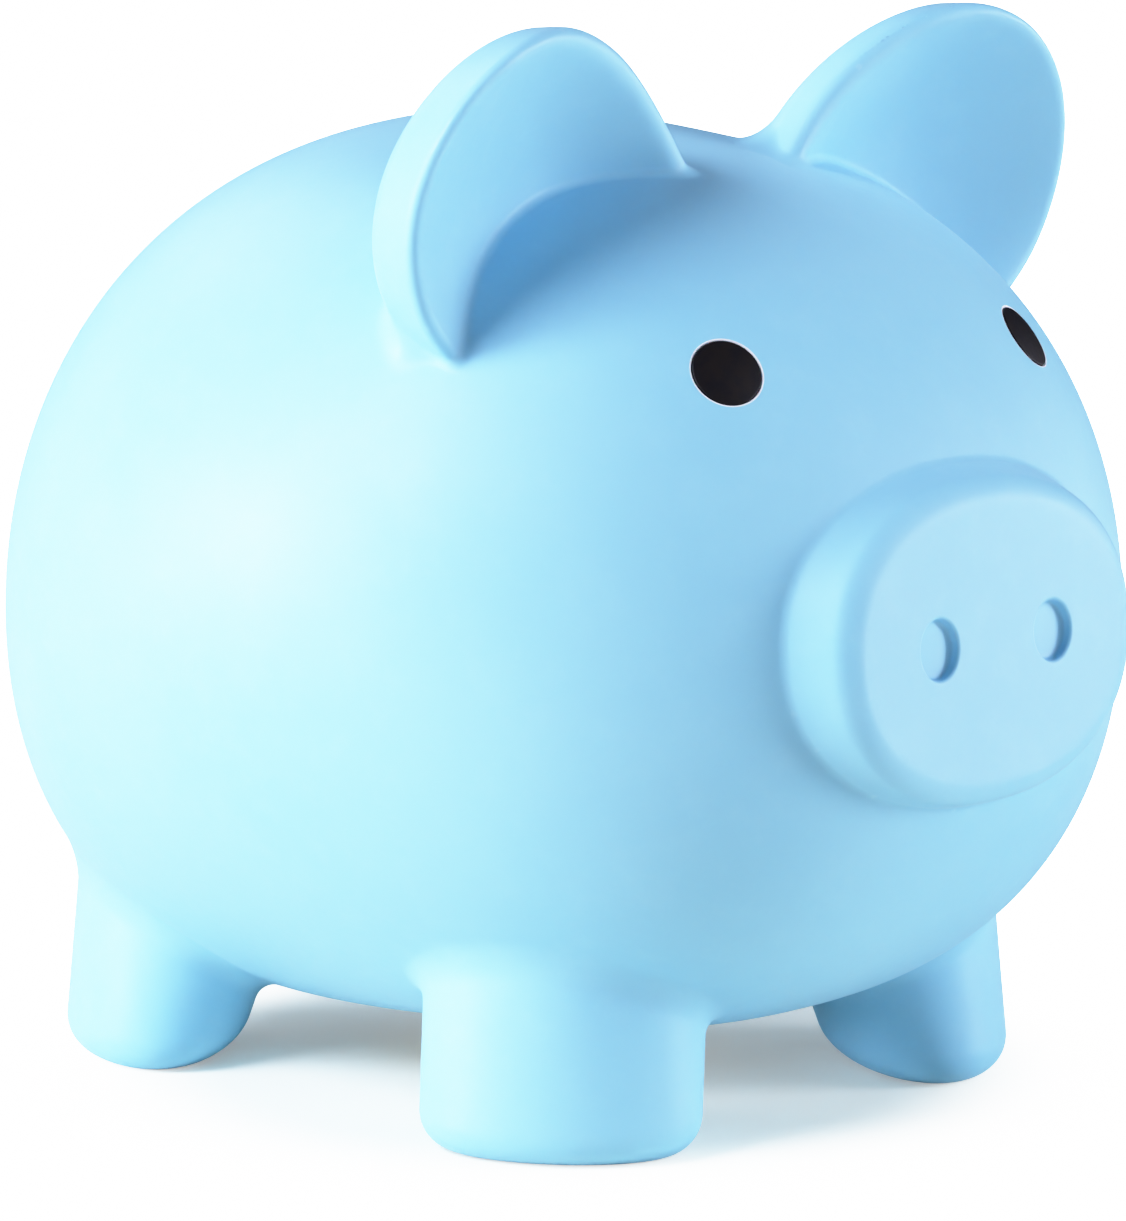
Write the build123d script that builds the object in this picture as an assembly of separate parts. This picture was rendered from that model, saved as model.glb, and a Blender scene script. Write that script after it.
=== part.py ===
from build123d import *
import math
import os

# Piggy bank: hollow soft-vinyl pig, one moulding, with two eye discs and a belly stopper.
# Frame: millimetres, +Z up, nose towards -Y, symmetric about X = 0 but for the tail,
# origin on the floor under the pig, feet on Z = 0. The pig's left is +X.

WALL = 2.5                 # vinyl wall
OVERLAP = 0.1              # how far stacked pieces run into each other before they are fused

# body: superellipsoid, bent and tapered along its length
BELLY_Z = 7.0              # underside at mid length
BODY_HALF_X = 69.52
BODY_HALF_Y = 75.0
BODY_HALF_Z = 62.08        # at mid length
BODY_Z = BELLY_Z + BODY_HALF_Z   # height of the body's centre
BODY_PLAN_POWER = 2.31     # squareness seen from above, 2 is an ellipse
BODY_SIDE_POWER = 2.081    # squareness seen from the side
BODY_TAIL_WIDEN = 0.026    # share of width gained towards the tail, lost towards the nose
BODY_TAIL_HEIGHTEN = 0.071     # the same for height
BODY_ENDS_HEIGHTEN = 0.221     # extra share of height at both ends
BODY_ENDS_SHIFT = -5.964   # drop of the centre line at both ends
BODY_TAIL_SHIFT = -2.278   # drop of the centre line towards the tail
BODY_TOP_LENGTHEN = -0.06  # share of length gained with height
BODY_TOP_WIDEN = 0.007     # share of width gained with height
BODY_STATIONS = (-80, -71, -60, -48, -36, -24, -12, 0, 12, 24, 36, 48, 60, 71, 80)  # degrees
BODY_STATION_POINTS = 28

# snout: low oval button, facing slightly upwards
SNOUT_FACE_Y, SNOUT_FACE_Z = -77.4, 67.9
SNOUT_BASE_Y, SNOUT_BASE_Z = -68.0, 68.8
SNOUT_FACE_HALF_X, SNOUT_FACE_HALF_Z = 27.3, 20.2
SNOUT_BASE_HALF_X, SNOUT_BASE_HALF_Z = 31.6, 23.1
SNOUT_ROOT = 14.0          # run of the snout into the body, past its base
SNOUT_POWER = 2.2          # outline squareness, 2 is an ellipse
SNOUT_POINTS = 48
SNOUT_TILT = math.radians(4.0)
SNOUT_EDGE = 3.2           # rounding of the face's edge
SNOUT_INNER_EDGE = 1.2
SNOUT_FACE_WALL = 4.6      # thicker vinyl behind the nostril recesses
NOSTRIL_X, NOSTRIL_Z = 10.9, 68.05
NOSTRIL_HALF_X, NOSTRIL_HALF_Z = 3.4, 3.95
NOSTRIL_DEPTH = 2.0

# eyes: domed discs on stems; depths are measured along the skin's normal
EYE_X, EYE_Z = 28.57, 102.92
EYE_SOCKET_R = 4.6
EYE_SOCKET_DEPTH = 1.2
EYE_R = EYE_SOCKET_R - 0.06
EYE_T = 1.45               # from the socket's floor to the top of the dome
EYE_DOME = 0.35            # height of the dome over the disc's edge
EYE_STEM_R = 2.0
EYE_STEM_LENGTH = 5.0
EYE_STEM_HOLE_R = EYE_STEM_R + 0.05
EYE_STEM_HOLE_DEPTH = 12
EYE_BOSS_R = 7.5           # thick boss inside, behind the socket
EYE_BOSS_T = 4.4           # its total thickness from the skin

# ears: curved plates standing on the head
EAR_CENTRE = (27.33, -32.54, 120.57)
EAR_YAW, EAR_PITCH, EAR_ROLL = (math.radians(angle) for angle in (3.79, -3.67, -21.0))
EAR_OUTER_HALF, EAR_INNER_HALF = 31.4, 18.4   # half widths, outer side and inner side
EAR_HALF_HEIGHT = 28.87
EAR_T = 10.0
EAR_OUTLINE_POWER = 1.86   # outline squareness
EAR_RIM_POWER = 3.2        # squareness of the plate in section
EAR_BOW_ACROSS, EAR_BOW_ACROSS_AT = 1.19, 22   # forward bow, at this distance off the middle
EAR_BOW_ALONG, EAR_BOW_ALONG_AT = 10.33, 36
EAR_SHEAR = 0.266
EAR_SCOOP = 7.8            # depth of the hollow in the front face; the back follows by half
EAR_BACK_SCALE = 0.951     # size of the back outline against the front one
EAR_STATIONS = (-80, -70, -59, -48, -36, -24, -12, 0, 12, 24, 36, 48, 59, 70, 80)  # degrees
EAR_STATION_POINTS = 32

# legs: leaning oval stubs
LEG_X = 35.1
LEG_FRONT_Y, LEG_REAR_Y = -34.1, 46.4
LEG_ANGLE = math.radians(54.1)   # from the long axis to the leg's outward direction
LEG_HALF_ACROSS, LEG_HALF_OUT = 18.5, 12.0   # across and along the outward direction
LEG_TOP_Z = 34.0
LEG_TOP_IN = 7.6           # how far the leg's centre moves inwards at its top
LEG_TOP_GROW = 4.5         # growth of its outward half size at its top
LEG_JOIN = 3.0             # rounding where a leg meets the belly
LEG_EDGE = 3.5             # rounding of the sole's edge
LEG_INNER_EDGE = 1.5

# coin slot on the back, along the length
SLOT_Y = 16.0
SLOT_LENGTH, SLOT_WIDTH = 40.0, 5.0
SLOT_BOTTOM_Z, SLOT_TOP_Z = 110, 150   # extent of the cut

# belly port
PORT_Y = 5.0
PORT_R = 16.5              # hole
PORT_BOTTOM_Z, PORT_TOP_Z = -5, 35     # extent of the cut
SEAT_R = 20.6              # flat seat round the hole
SEAT_Z = 10.8
LAND_R = 24.0              # thick land inside
LAND_TOP_Z = 13.6

# belly stopper
FLANGE_R = SEAT_R - 0.4
FLANGE_Z = 8.9             # outer face of the flange
FLANGE_EDGE = 0.8
NECK_R = PORT_R - 0.8
NECK_TOP_Z = 16.8
BEAD_R = PORT_R - 0.05
BEAD_Z = LAND_TOP_Z + 0.3  # underside of the bead, just above the land
BEAD_HEIGHT = 2.0
BEAD_CHAMFER = 0.6
STOPPER_WALL = 2.4
STOPPER_FLOOR_Z = 14.0     # top of the stopper's floor, inside the pig
DISH_R = 12.4
BAR_T = 4.0                # grip bar across the dish
BAR_Z = FLANGE_Z + 0.4     # underside of the bar
BAR_SINK = 0.5             # how far the bar runs into the floor

# tail
TAIL_Z = 76.0
TAIL_R = 2.6               # rope radius
TAIL_RING_R = 5.2
TAIL_OUT = 1.0             # ring centre over the skin
TAIL_LEAN = math.radians(9.0)
TAIL_START, TAIL_ARC = 120.0, 290.0   # degrees


# ---------------------------------------------------------------- helpers
def biggest(shape):
    return max(shape.solids(), key=lambda solid: solid.volume)


def closed_wire(points):
    return Wire([Edge.make_spline(points, periodic=True)])


def loft_between_poles(start, wires, end):
    poles = [Vertex(pole.X, pole.Y, pole.Z) for pole in (start, end)]
    return Solid.make_loft([poles[0]] + wires + [poles[1]])


def superellipsoid(x, y, z, outline_power, section_power):
    """Zero on the unit superellipsoid, positive outside; x and y span the outline."""
    outline = abs(x) ** outline_power + abs(y) ** outline_power
    return outline ** (section_power / outline_power) + abs(z) ** section_power - 1


def section_point(y, angle, outline_power, section_power):
    """X and Z on the unit superellipsoid at y, at an angle round the Y axis."""
    inside, outside = 0.0, 1.6
    for _ in range(60):
        r = (inside + outside) / 2
        x, z = r * math.cos(angle), r * math.sin(angle)
        if superellipsoid(x, y, z, outline_power, section_power) > 0:
            outside = r
        else:
            inside = r
    return inside * math.cos(angle), inside * math.sin(angle)


def cylinder_along(point, direction, radius, start, end):
    """Cylinder along a direction, from distance start to distance end off the point."""
    plane = Plane(origin=point + direction * start, z_dir=direction)
    return Solid.make_cylinder(radius, end - start, plane)


def port_cylinder(radius, bottom_z, top_z):
    """Upright cylinder on the belly port's axis."""
    return Solid.make_cylinder(radius, top_z - bottom_z, Plane(origin=(0, PORT_Y, bottom_z)))


# ---------------------------------------------------------------- body
def body_height_scale(y):
    return BODY_HALF_Z * (1 + BODY_TAIL_HEIGHTEN * y + BODY_ENDS_HEIGHTEN * y * y)


def body_point(x, y, z):
    """From unit coordinates to millimetres."""
    centre_shift = BODY_ENDS_SHIFT * y * y + BODY_TAIL_SHIFT * y
    return Vector(
        x * BODY_HALF_X * (1 + BODY_TAIL_WIDEN * y) * (1 + BODY_TOP_WIDEN * z),
        y * BODY_HALF_Y * (1 + BODY_TOP_LENGTHEN * z),
        BODY_Z + z * body_height_scale(y) + centre_shift,
    )


def body_field(x, y, z):
    """Zero on the body's surface, positive outside; takes millimetres."""
    unit_y = y / BODY_HALF_Y
    # unit Y and Z depend on each other, so they are found by repetition
    for _ in range(10):
        centre_z = BODY_Z + BODY_ENDS_SHIFT * unit_y * unit_y + BODY_TAIL_SHIFT * unit_y
        unit_z = (z - centre_z) / body_height_scale(unit_y)
        unit_y = y / (BODY_HALF_Y * (1 + BODY_TOP_LENGTHEN * unit_z))
    width_scale = (1 + BODY_TAIL_WIDEN * unit_y) * (1 + BODY_TOP_WIDEN * unit_z)
    unit_x = x / (BODY_HALF_X * width_scale)
    return superellipsoid(unit_x, unit_y, unit_z, BODY_PLAN_POWER, BODY_SIDE_POWER)


def body_normal(point):
    x, y, z = point.X, point.Y, point.Z
    step = 0.01
    return Vector(
        body_field(x + step, y, z) - body_field(x - step, y, z),
        body_field(x, y + step, z) - body_field(x, y - step, z),
        body_field(x, y, z + step) - body_field(x, y, z - step),
    ).normalized()


def body_surface_point(x, z, outside):
    """Point of the skin at X and Z, between Y = 0 and a Y outside the body."""
    inside = 0.0
    for _ in range(50):
        y = (inside + outside) / 2
        if body_field(x, y, z) > 0:
            outside = y
        else:
            inside = y
    return Vector(x, (inside + outside) / 2, z)


def body_solid(inset):
    """The body, or the same form moved inwards by inset."""
    wires = []
    for station in BODY_STATIONS:
        y = math.sin(math.radians(station))
        points = []
        for i in range(BODY_STATION_POINTS):
            angle = -math.pi / 2 + 2 * math.pi * i / BODY_STATION_POINTS
            x, z = section_point(y, angle, BODY_PLAN_POWER, BODY_SIDE_POWER)
            point = body_point(x, y, z)
            points.append(point - body_normal(point) * inset)
        wires.append(closed_wire(points))
    nose, rump = (body_point(0, y, 0) - Vector(0, inset * y, 0) for y in (-1.0, 1.0))
    return loft_between_poles(nose, wires, rump)


# ---------------------------------------------------------------- snout
def signed_power(value, exponent):
    return math.copysign(abs(value) ** exponent, value)


def snout_solid(inset, face_wall, edge_radius):
    base_depth = SNOUT_BASE_Y - SNOUT_FACE_Y
    slope_x = (SNOUT_BASE_HALF_X - SNOUT_FACE_HALF_X) / base_depth
    slope_z = (SNOUT_BASE_HALF_Z - SNOUT_FACE_HALF_Z) / base_depth

    def section(depth, centre_z):
        """Tilted oval at a depth behind the face."""
        half_x = SNOUT_FACE_HALF_X + slope_x * depth - inset
        half_z = SNOUT_FACE_HALF_Z + slope_z * depth - inset
        points = []
        for i in range(SNOUT_POINTS):
            angle = 2 * math.pi * (i + 0.5) / SNOUT_POINTS
            across = half_x * signed_power(math.cos(angle), 2 / SNOUT_POWER)
            up = half_z * signed_power(math.sin(angle), 2 / SNOUT_POWER)
            points.append(Vector(
                across,
                SNOUT_FACE_Y + depth + up * math.sin(SNOUT_TILT),
                centre_z + up * math.cos(SNOUT_TILT),
            ))
        return Face(closed_wire(points))

    root_z = SNOUT_BASE_Z + (SNOUT_BASE_Z - SNOUT_FACE_Z) * SNOUT_ROOT / base_depth
    sections = [section(face_wall, SNOUT_FACE_Z), section(base_depth + SNOUT_ROOT, root_z)]
    snout = loft(sections, ruled=True)
    return snout.fillet(edge_radius, [snout.edges().sort_by(Axis.Y)[0]])


def nostril_cutter(side):
    normal = Vector(0, -math.cos(SNOUT_TILT), math.sin(SNOUT_TILT))
    face_y = SNOUT_FACE_Y + (NOSTRIL_Z - SNOUT_FACE_Z) * math.tan(SNOUT_TILT)
    floor = Vector(side * NOSTRIL_X, face_y, NOSTRIL_Z) - normal * NOSTRIL_DEPTH
    plane = Plane(origin=floor, x_dir=(1, 0, 0), z_dir=normal)
    return extrude(plane * Ellipse(NOSTRIL_HALF_X, NOSTRIL_HALF_Z), NOSTRIL_DEPTH + 4)


# ---------------------------------------------------------------- legs
def leg_solids(inset, edge_radius):
    return [
        leg_solid(side, leg_y, inset, edge_radius)
        for side in (1, -1)
        for leg_y in (LEG_FRONT_Y, LEG_REAR_Y)
    ]


def leg_solid(side, leg_y, inset, edge_radius):
    outward = Vector(side * math.sin(LEG_ANGLE), math.copysign(math.cos(LEG_ANGLE), leg_y), 0)

    def section(z):
        rise = z / LEG_TOP_Z
        centre = Vector(side * LEG_X, leg_y, z) - outward * (LEG_TOP_IN * rise)
        plane = Plane(origin=centre, x_dir=outward, z_dir=(0, 0, 1))
        half_out = LEG_HALF_OUT + LEG_TOP_GROW * rise
        return plane * Ellipse(half_out - inset, LEG_HALF_ACROSS - inset)

    leg = loft([section(inset), section(LEG_TOP_Z)], ruled=True)
    return leg.fillet(edge_radius, [leg.edges().sort_by(Axis.Z)[0]])


def add_leg(skin, leg):
    """Fuse a leg to the skin and round the join under the belly."""
    skin = biggest(skin.fuse(leg))
    leg_box = leg.bounding_box()
    joins = []
    for edge in skin.edges():
        box = edge.bounding_box()
        in_x = box.min.X > leg_box.min.X - 1 and box.max.X < leg_box.max.X + 1
        in_y = box.min.Y > leg_box.min.Y - 1 and box.max.Y < leg_box.max.Y + 1
        in_z = box.min.Z > 5 and box.max.Z < LEG_TOP_Z
        if in_x and in_y and in_z and edge.length > 10:
            joins.append(edge)
    return biggest(skin.fillet(LEG_JOIN, joins))


# ---------------------------------------------------------------- ears
def ear_axes():
    """Directions outwards across the ear, up along it, and out of its front face."""
    normal = Vector(
        math.sin(EAR_YAW) * math.cos(EAR_PITCH),
        -math.cos(EAR_YAW) * math.cos(EAR_PITCH),
        math.sin(EAR_PITCH),
    )
    level = Vector(0, 0, 1).cross(normal).normalized()
    upright = normal.cross(level)
    across = level * math.cos(EAR_ROLL) + upright * math.sin(EAR_ROLL)
    along = upright * math.cos(EAR_ROLL) - level * math.sin(EAR_ROLL)
    return across, along, normal


def ear_solid(side):
    """Superellipsoid plate with its poles at the tip and the root, then bowed and scooped."""
    across, along, normal = ear_axes()

    def point(x, y, z):
        """From unit coordinates (across, along, front) to millimetres."""
        depth = EAR_T / 2 * (1 - z)     # 0 at the front face
        scale = 1 - (1 - EAR_BACK_SCALE) * depth / EAR_T
        v = y * EAR_HALF_HEIGHT * scale
        u = x * (EAR_OUTER_HALF if x > 0 else EAR_INNER_HALF) * scale + EAR_SHEAR * v
        bow = (EAR_BOW_ACROSS * (u / EAR_BOW_ACROSS_AT) ** 2
               + EAR_BOW_ALONG * (v / EAR_BOW_ALONG_AT) ** 2)
        off_centre = (x * scale) ** 2 + (y * scale) ** 2
        scoop = EAR_SCOOP * max(0.0, 1 - off_centre) ** 2 * (1 - 0.5 * depth / EAR_T)
        place = Vector(*EAR_CENTRE) + across * u + along * v + normal * (bow - depth - scoop)
        return Vector(side * place.X, place.Y, place.Z)

    wires = []
    for station in EAR_STATIONS:
        y = math.sin(math.radians(station))
        points = []
        for i in range(EAR_STATION_POINTS):
            angle = 2 * math.pi * (i + 0.5) / EAR_STATION_POINTS
            x, z = section_point(y, angle, EAR_OUTLINE_POWER, EAR_RIM_POWER)
            points.append(point(x, y, z))
        if side < 0:
            points.reverse()
        wires.append(closed_wire(points))
    return loft_between_poles(point(0, -1, 0), wires, point(0, 1, 0))


# ---------------------------------------------------------------- tail
def tail_solid():
    """Open ring of round section with round ends, partly sunk in the rump."""
    root = body_surface_point(0, TAIL_Z, outside=100.0)
    normal = body_normal(root)
    sideways = Vector(1, 0, 0)
    up = sideways.cross(normal)
    # the ring's plane leans so that its lower side stands further out
    axis = normal * math.cos(TAIL_LEAN) + up * math.sin(TAIL_LEAN)
    plane = Plane(origin=root + normal * TAIL_OUT, x_dir=sideways, z_dir=axis)
    path = (plane * CenterArc((0, 0), TAIL_RING_R, TAIL_START, TAIL_ARC)).edges()[0]
    section = Plane(origin=path @ 0, z_dir=path % 0) * Circle(TAIL_R)
    ring = Solid.sweep(section.faces()[0], path)
    ends = [Solid.make_sphere(TAIL_R, Plane(origin=path @ k)) for k in (0, 1)]
    return biggest(ring.fuse(*ends))


# ---------------------------------------------------------------- eyes
def eye_place(side):
    """Point on the skin and outward normal at an eye."""
    point = body_surface_point(EYE_X, EYE_Z, outside=-100.0)
    normal = body_normal(point)
    return (
        Vector(side * point.X, point.Y, point.Z),
        Vector(side * normal.X, normal.Y, normal.Z),
    )


def eye_solid(side):
    point, normal = eye_place(side)
    floor = -EYE_SOCKET_DEPTH
    top = floor + EYE_T
    disc = cylinder_along(point, normal, EYE_R, floor, top - EYE_DOME)
    dome_radius = (EYE_R ** 2 + EYE_DOME ** 2) / (2 * EYE_DOME)
    ball_centre = point + normal * (top - dome_radius)
    ball = Solid.make_sphere(dome_radius, Plane(origin=ball_centre))
    cap = cylinder_along(point, normal, EYE_R, floor + OVERLAP, top + 1).intersect(ball)
    disc = biggest(disc.fuse(cap.solids()[0]))
    stem = cylinder_along(point, normal, EYE_STEM_R, floor - EYE_STEM_LENGTH, floor + OVERLAP)
    return biggest(disc.fuse(stem))


# ---------------------------------------------------------------- body shell
def outer_form():
    skin = body_solid(0)
    for leg in leg_solids(0, LEG_EDGE):
        skin = add_leg(skin, leg)
    skin = biggest(skin.fuse(snout_solid(0, 0, SNOUT_EDGE)))
    skin = biggest(skin.fuse(tail_solid()))
    return biggest(skin.fuse(ear_solid(1), ear_solid(-1)))


def hollow():
    """The space inside; the ears and the tail stay solid."""
    space = body_solid(WALL)
    snout = snout_solid(WALL, SNOUT_FACE_WALL, SNOUT_INNER_EDGE)
    for piece in leg_solids(WALL, LEG_INNER_EDGE) + [snout]:
        space = biggest(space.fuse(piece))
    # left solid: the land round the belly port and the bosses behind the eye sockets
    space = biggest(space.cut(port_cylinder(LAND_R, 0, LAND_TOP_Z)))
    for side in (1, -1):
        boss = cylinder_along(*eye_place(side), EYE_BOSS_R, -EYE_BOSS_T, 4)
        space = biggest(space.cut(boss))
    return space


def coin_slot_cutter():
    plane = Plane(origin=(0, SLOT_Y, SLOT_BOTTOM_Z), x_dir=(0, 1, 0), z_dir=(0, 0, 1))
    return extrude(plane * SlotOverall(SLOT_LENGTH, SLOT_WIDTH), SLOT_TOP_Z - SLOT_BOTTOM_Z)


def body_shell():
    cutters = [
        hollow(),
        port_cylinder(SEAT_R, PORT_BOTTOM_Z, SEAT_Z),
        port_cylinder(PORT_R, PORT_BOTTOM_Z, PORT_TOP_Z),
        coin_slot_cutter(),
    ]
    for side in (1, -1):
        place = eye_place(side)
        cutters.append(cylinder_along(*place, EYE_SOCKET_R, -EYE_SOCKET_DEPTH, 4))
        cutters.append(cylinder_along(*place, EYE_STEM_HOLE_R, -EYE_STEM_HOLE_DEPTH, 2))
    cutters += [nostril_cutter(side) for side in (1, -1)]

    shell = outer_form()
    for cutter in cutters:
        shell = biggest(shell.cut(cutter))
    return shell


# ---------------------------------------------------------------- belly stopper
def belly_stopper():
    """Flange, neck, bead and inner cup, with a grip bar across the dish outside."""
    flange = port_cylinder(FLANGE_R, FLANGE_Z, SEAT_Z)
    flange = flange.fillet(FLANGE_EDGE, [flange.edges().sort_by(Axis.Z)[0]])
    stopper = biggest(flange.fuse(port_cylinder(NECK_R, SEAT_Z - OVERLAP, NECK_TOP_Z)))

    bead = port_cylinder(BEAD_R, BEAD_Z, BEAD_Z + BEAD_HEIGHT)
    rims = [edge for edge in bead.edges() if edge.geom_type == GeomType.CIRCLE]
    stopper = biggest(stopper.fuse(bead.chamfer(BEAD_CHAMFER, None, rims)))

    cup = port_cylinder(NECK_R - STOPPER_WALL, STOPPER_FLOOR_Z, NECK_TOP_Z + 5)
    stopper = biggest(stopper.cut(cup))
    dish_top_z = STOPPER_FLOOR_Z - STOPPER_WALL
    stopper = biggest(stopper.cut(port_cylinder(DISH_R, FLANGE_Z - 2, dish_top_z)))

    bar_half = DISH_R + 1      # the ends run into the dish's wall
    bar_plane = Plane(origin=(-bar_half, PORT_Y - BAR_T / 2, BAR_Z))
    bar = Solid.make_box(2 * bar_half, BAR_T, dish_top_z + BAR_SINK - BAR_Z, bar_plane)
    return biggest(stopper.fuse(bar))


def main():
    os.makedirs("parts", exist_ok=True)
    export_step(body_shell(), "parts/body_shell.step")
    export_step(eye_solid(1), "parts/eye_left.step")
    export_step(eye_solid(-1), "parts/eye_right.step")
    export_step(belly_stopper(), "parts/belly_stopper.step")


if __name__ == "__main__":
    main()
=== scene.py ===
"""A pig-shaped money box of soft blue vinyl, with black eye discs and a pale belly stopper.

It stands on z = 0 and is mirrored in x. The snout points to -y, the tail to +y, the coin slot
is on top and the port for the stopper is underneath. Shapes are signed distances in
millimetres (below 0 inside), which are meshed and then scaled to metres by MM.
"""

import math

import bmesh
import bpy
import numpy as np
from mathutils import Matrix, Vector


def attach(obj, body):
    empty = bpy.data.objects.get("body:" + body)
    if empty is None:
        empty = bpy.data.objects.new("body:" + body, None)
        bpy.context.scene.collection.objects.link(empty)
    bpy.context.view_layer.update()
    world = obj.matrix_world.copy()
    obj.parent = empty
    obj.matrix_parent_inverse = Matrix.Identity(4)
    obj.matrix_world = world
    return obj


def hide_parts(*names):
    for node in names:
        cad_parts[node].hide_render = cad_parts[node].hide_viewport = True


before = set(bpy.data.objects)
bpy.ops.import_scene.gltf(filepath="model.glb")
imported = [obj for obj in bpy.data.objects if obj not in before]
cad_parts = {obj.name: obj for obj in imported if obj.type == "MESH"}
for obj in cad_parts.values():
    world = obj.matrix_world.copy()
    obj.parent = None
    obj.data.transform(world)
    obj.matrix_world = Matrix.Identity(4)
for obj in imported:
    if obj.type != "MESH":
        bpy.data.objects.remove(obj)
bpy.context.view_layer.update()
MM = 0.001

# ------------------------------------------------------------------ meshing
SKIN_BOX = (-74, -83, -3.1), (74, 83, 149)
OUTER_STEP, HOLLOW_STEP, STOPPER_STEP = 1.5, 2.8, 0.62
# (largest turn across an edge in degrees, shortest edge that is split), one per pass
OUTER_PASSES = ((9, 0.9), (10, 0.6), (12, 0.42))
STOPPER_PASSES = ((16, 0.36),)

# ------------------------------------------------------------------ distance helpers
WALL = 2.5


def rows(*columns):
    return np.stack(columns, 1)


def unit_rows(vectors, least):
    return vectors / np.maximum(np.linalg.norm(vectors, axis=1), least)[:, None]


def slope_squared(field, pts, here, h=0.02):
    total = 0.0
    for k in range(3):
        moved = pts.copy()
        moved[:, k] += h
        total = total + ((field(moved) - here) / h) ** 2
    return total


def normed(field, pts):
    """The field divided by the length of its gradient: close to a distance near the surface."""
    here = field(pts)
    return here / np.sqrt(np.maximum(slope_squared(field, pts, here), 1e-12))


def gradient(field, pts, h=0.02):
    grad = np.empty_like(pts)
    for k in range(3):
        ahead, behind = pts.copy(), pts.copy()
        ahead[:, k] += h
        behind[:, k] -= h
        grad[:, k] = (field(ahead) - field(behind)) / (2 * h)
    return grad


def join(a, b, r):
    """Union with a fillet of radius r."""
    return np.maximum(r, np.minimum(a, b)) - np.hypot(np.maximum(r - a, 0), np.maximum(r - b, 0))


def meet(a, b, r):
    """Intersection with an edge rounded to radius r."""
    return np.minimum(-r, np.maximum(a, b)) + np.hypot(np.maximum(r + a, 0), np.maximum(r + b, 0))


def smooth(t):
    t = np.clip(t, 0, 1)
    return t * t * (3 - 2 * t)


def mirrored(pts):
    """The points folded onto the side where x is positive."""
    folded = pts.copy()
    folded[:, 0] = np.abs(folded[:, 0])
    return folded


# ------------------------------------------------------------------ body
HALF_X, HALF_Y, HALF_Z, MID_Z = 69.52, 75.0, 62.08, 69.08
PLAN_POWER, UPRIGHT_POWER = 2.31, 2.081
WIDER_BACK, WIDER_UP, LONGER_UP = 0.026, 0.007, -0.06
TALLER_BACK, TALLER_ENDS = 0.071, 0.221      # growth of the half height along y
RISE_ENDS, RISE_BACK = -5.964, -2.278        # shift of the mid height along y
# shallow dip beside the crown: depth, then centre and spread in |x| and y, then fade in z
DIP, DIP_X, DIP_X_SPREAD, DIP_Y, DIP_Y_SPREAD = 1.7, 20.0, 13.0, -6.0, 17.0
DIP_Z, DIP_FADE = 90.0, 20.0


def body_raw(pts):
    x, y, z = pts.T
    spread = -((np.abs(x) - DIP_X) / DIP_X_SPREAD) ** 2 - ((y - DIP_Y) / DIP_Y_SPREAD) ** 2
    z = z + DIP * np.exp(spread) * np.clip((z - DIP_Z) / DIP_FADE, 0, 1)
    # length depends on height and height on length, so both settle in turns
    along = np.clip(y / HALF_Y, -1.5, 1.5)
    for _ in range(5):
        rise = (z - MID_Z - RISE_ENDS * along * along - RISE_BACK * along) / (
            HALF_Z * (1 + TALLER_BACK * along + TALLER_ENDS * along * along))
        rise = np.clip(rise, -1.8, 1.8)
        along = y / (HALF_Y * (1 + LONGER_UP * rise))
    across = x / (HALF_X * (1 + WIDER_BACK * along) * (1 + WIDER_UP * rise))
    plan = np.abs(across) ** PLAN_POWER + np.abs(along) ** PLAN_POWER
    total = plan ** (UPRIGHT_POWER / PLAN_POWER) + np.abs(rise) ** UPRIGHT_POWER
    return np.maximum(total, 1e-9) ** (1 / UPRIGHT_POWER) - 1


# ------------------------------------------------------------------ legs
LEG_X, LEG_YS = 35.1, (-34.1, 46.4)
LEG_SPLAY = np.radians(54.1)                 # direction of a leg's narrow axis, from the y axis
LEG_WIDE, LEG_NARROW = 18.5, 12.0            # half sizes at the foot
LEG_TOP, LEG_LEAN, LEG_GROW = 34.0, 7.6, 4.5  # height; lean inwards and growth up to there
LEG_ZONE = 48


def leg(pts, leg_y, inset, edge):
    out_x = np.sin(LEG_SPLAY)
    out_y = (-1.0 if leg_y < 0 else 1.0) * np.cos(LEG_SPLAY)

    def side(spots):
        up = spots[:, 2] / LEG_TOP
        dx, dy = np.abs(spots[:, 0]) - LEG_X, spots[:, 1] - leg_y
        outward = dx * out_x + dy * out_y + LEG_LEAN * up
        sideways = -dx * out_y + dy * out_x
        narrow = LEG_NARROW + LEG_GROW * up - inset
        wide = LEG_WIDE - inset
        return np.sqrt((outward / narrow) ** 2 + (sideways / wide) ** 2 + 1e-12) - 1

    z = pts[:, 2]
    return np.maximum(meet(normed(side, pts), inset - z, edge), z - LEG_TOP)


# ------------------------------------------------------------------ ears
EAR_AT = np.array([28.49, -32.54, 120.09])
EAR_YAW, EAR_PITCH, EAR_ROLL = np.radians([0.47, -3.96, -20.1])
EAR_OUT, EAR_IN, EAR_HALF_Z, EAR_THICK = 31.5, 20.0, 29.1, 10.0
EAR_OUT_POWER, EAR_IN_POWER = 1.88, 2.2
EAR_BOW_ACROSS, EAR_BOW_UP = 1.19, 10.26     # backward bow, reached at the two spans
EAR_SPAN_ACROSS, EAR_SPAN_UP = 22, 36
EAR_SHEAR, EAR_BACK_SCALE, EAR_SCOOP, EAR_SCOOP_POWER = 0.266, 0.951, 7.8, 1.4

EAR_NORMAL = np.array([np.sin(EAR_YAW) * np.cos(EAR_PITCH),
                       -np.cos(EAR_YAW) * np.cos(EAR_PITCH), np.sin(EAR_PITCH)])
level_axis = np.cross([0, 0, 1.0], EAR_NORMAL)
level_axis /= np.linalg.norm(level_axis)
upright_axis = np.cross(EAR_NORMAL, level_axis)
EAR_ACROSS = level_axis * np.cos(EAR_ROLL) + upright_axis * np.sin(EAR_ROLL)
EAR_UP = -level_axis * np.sin(EAR_ROLL) + upright_axis * np.cos(EAR_ROLL)


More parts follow.
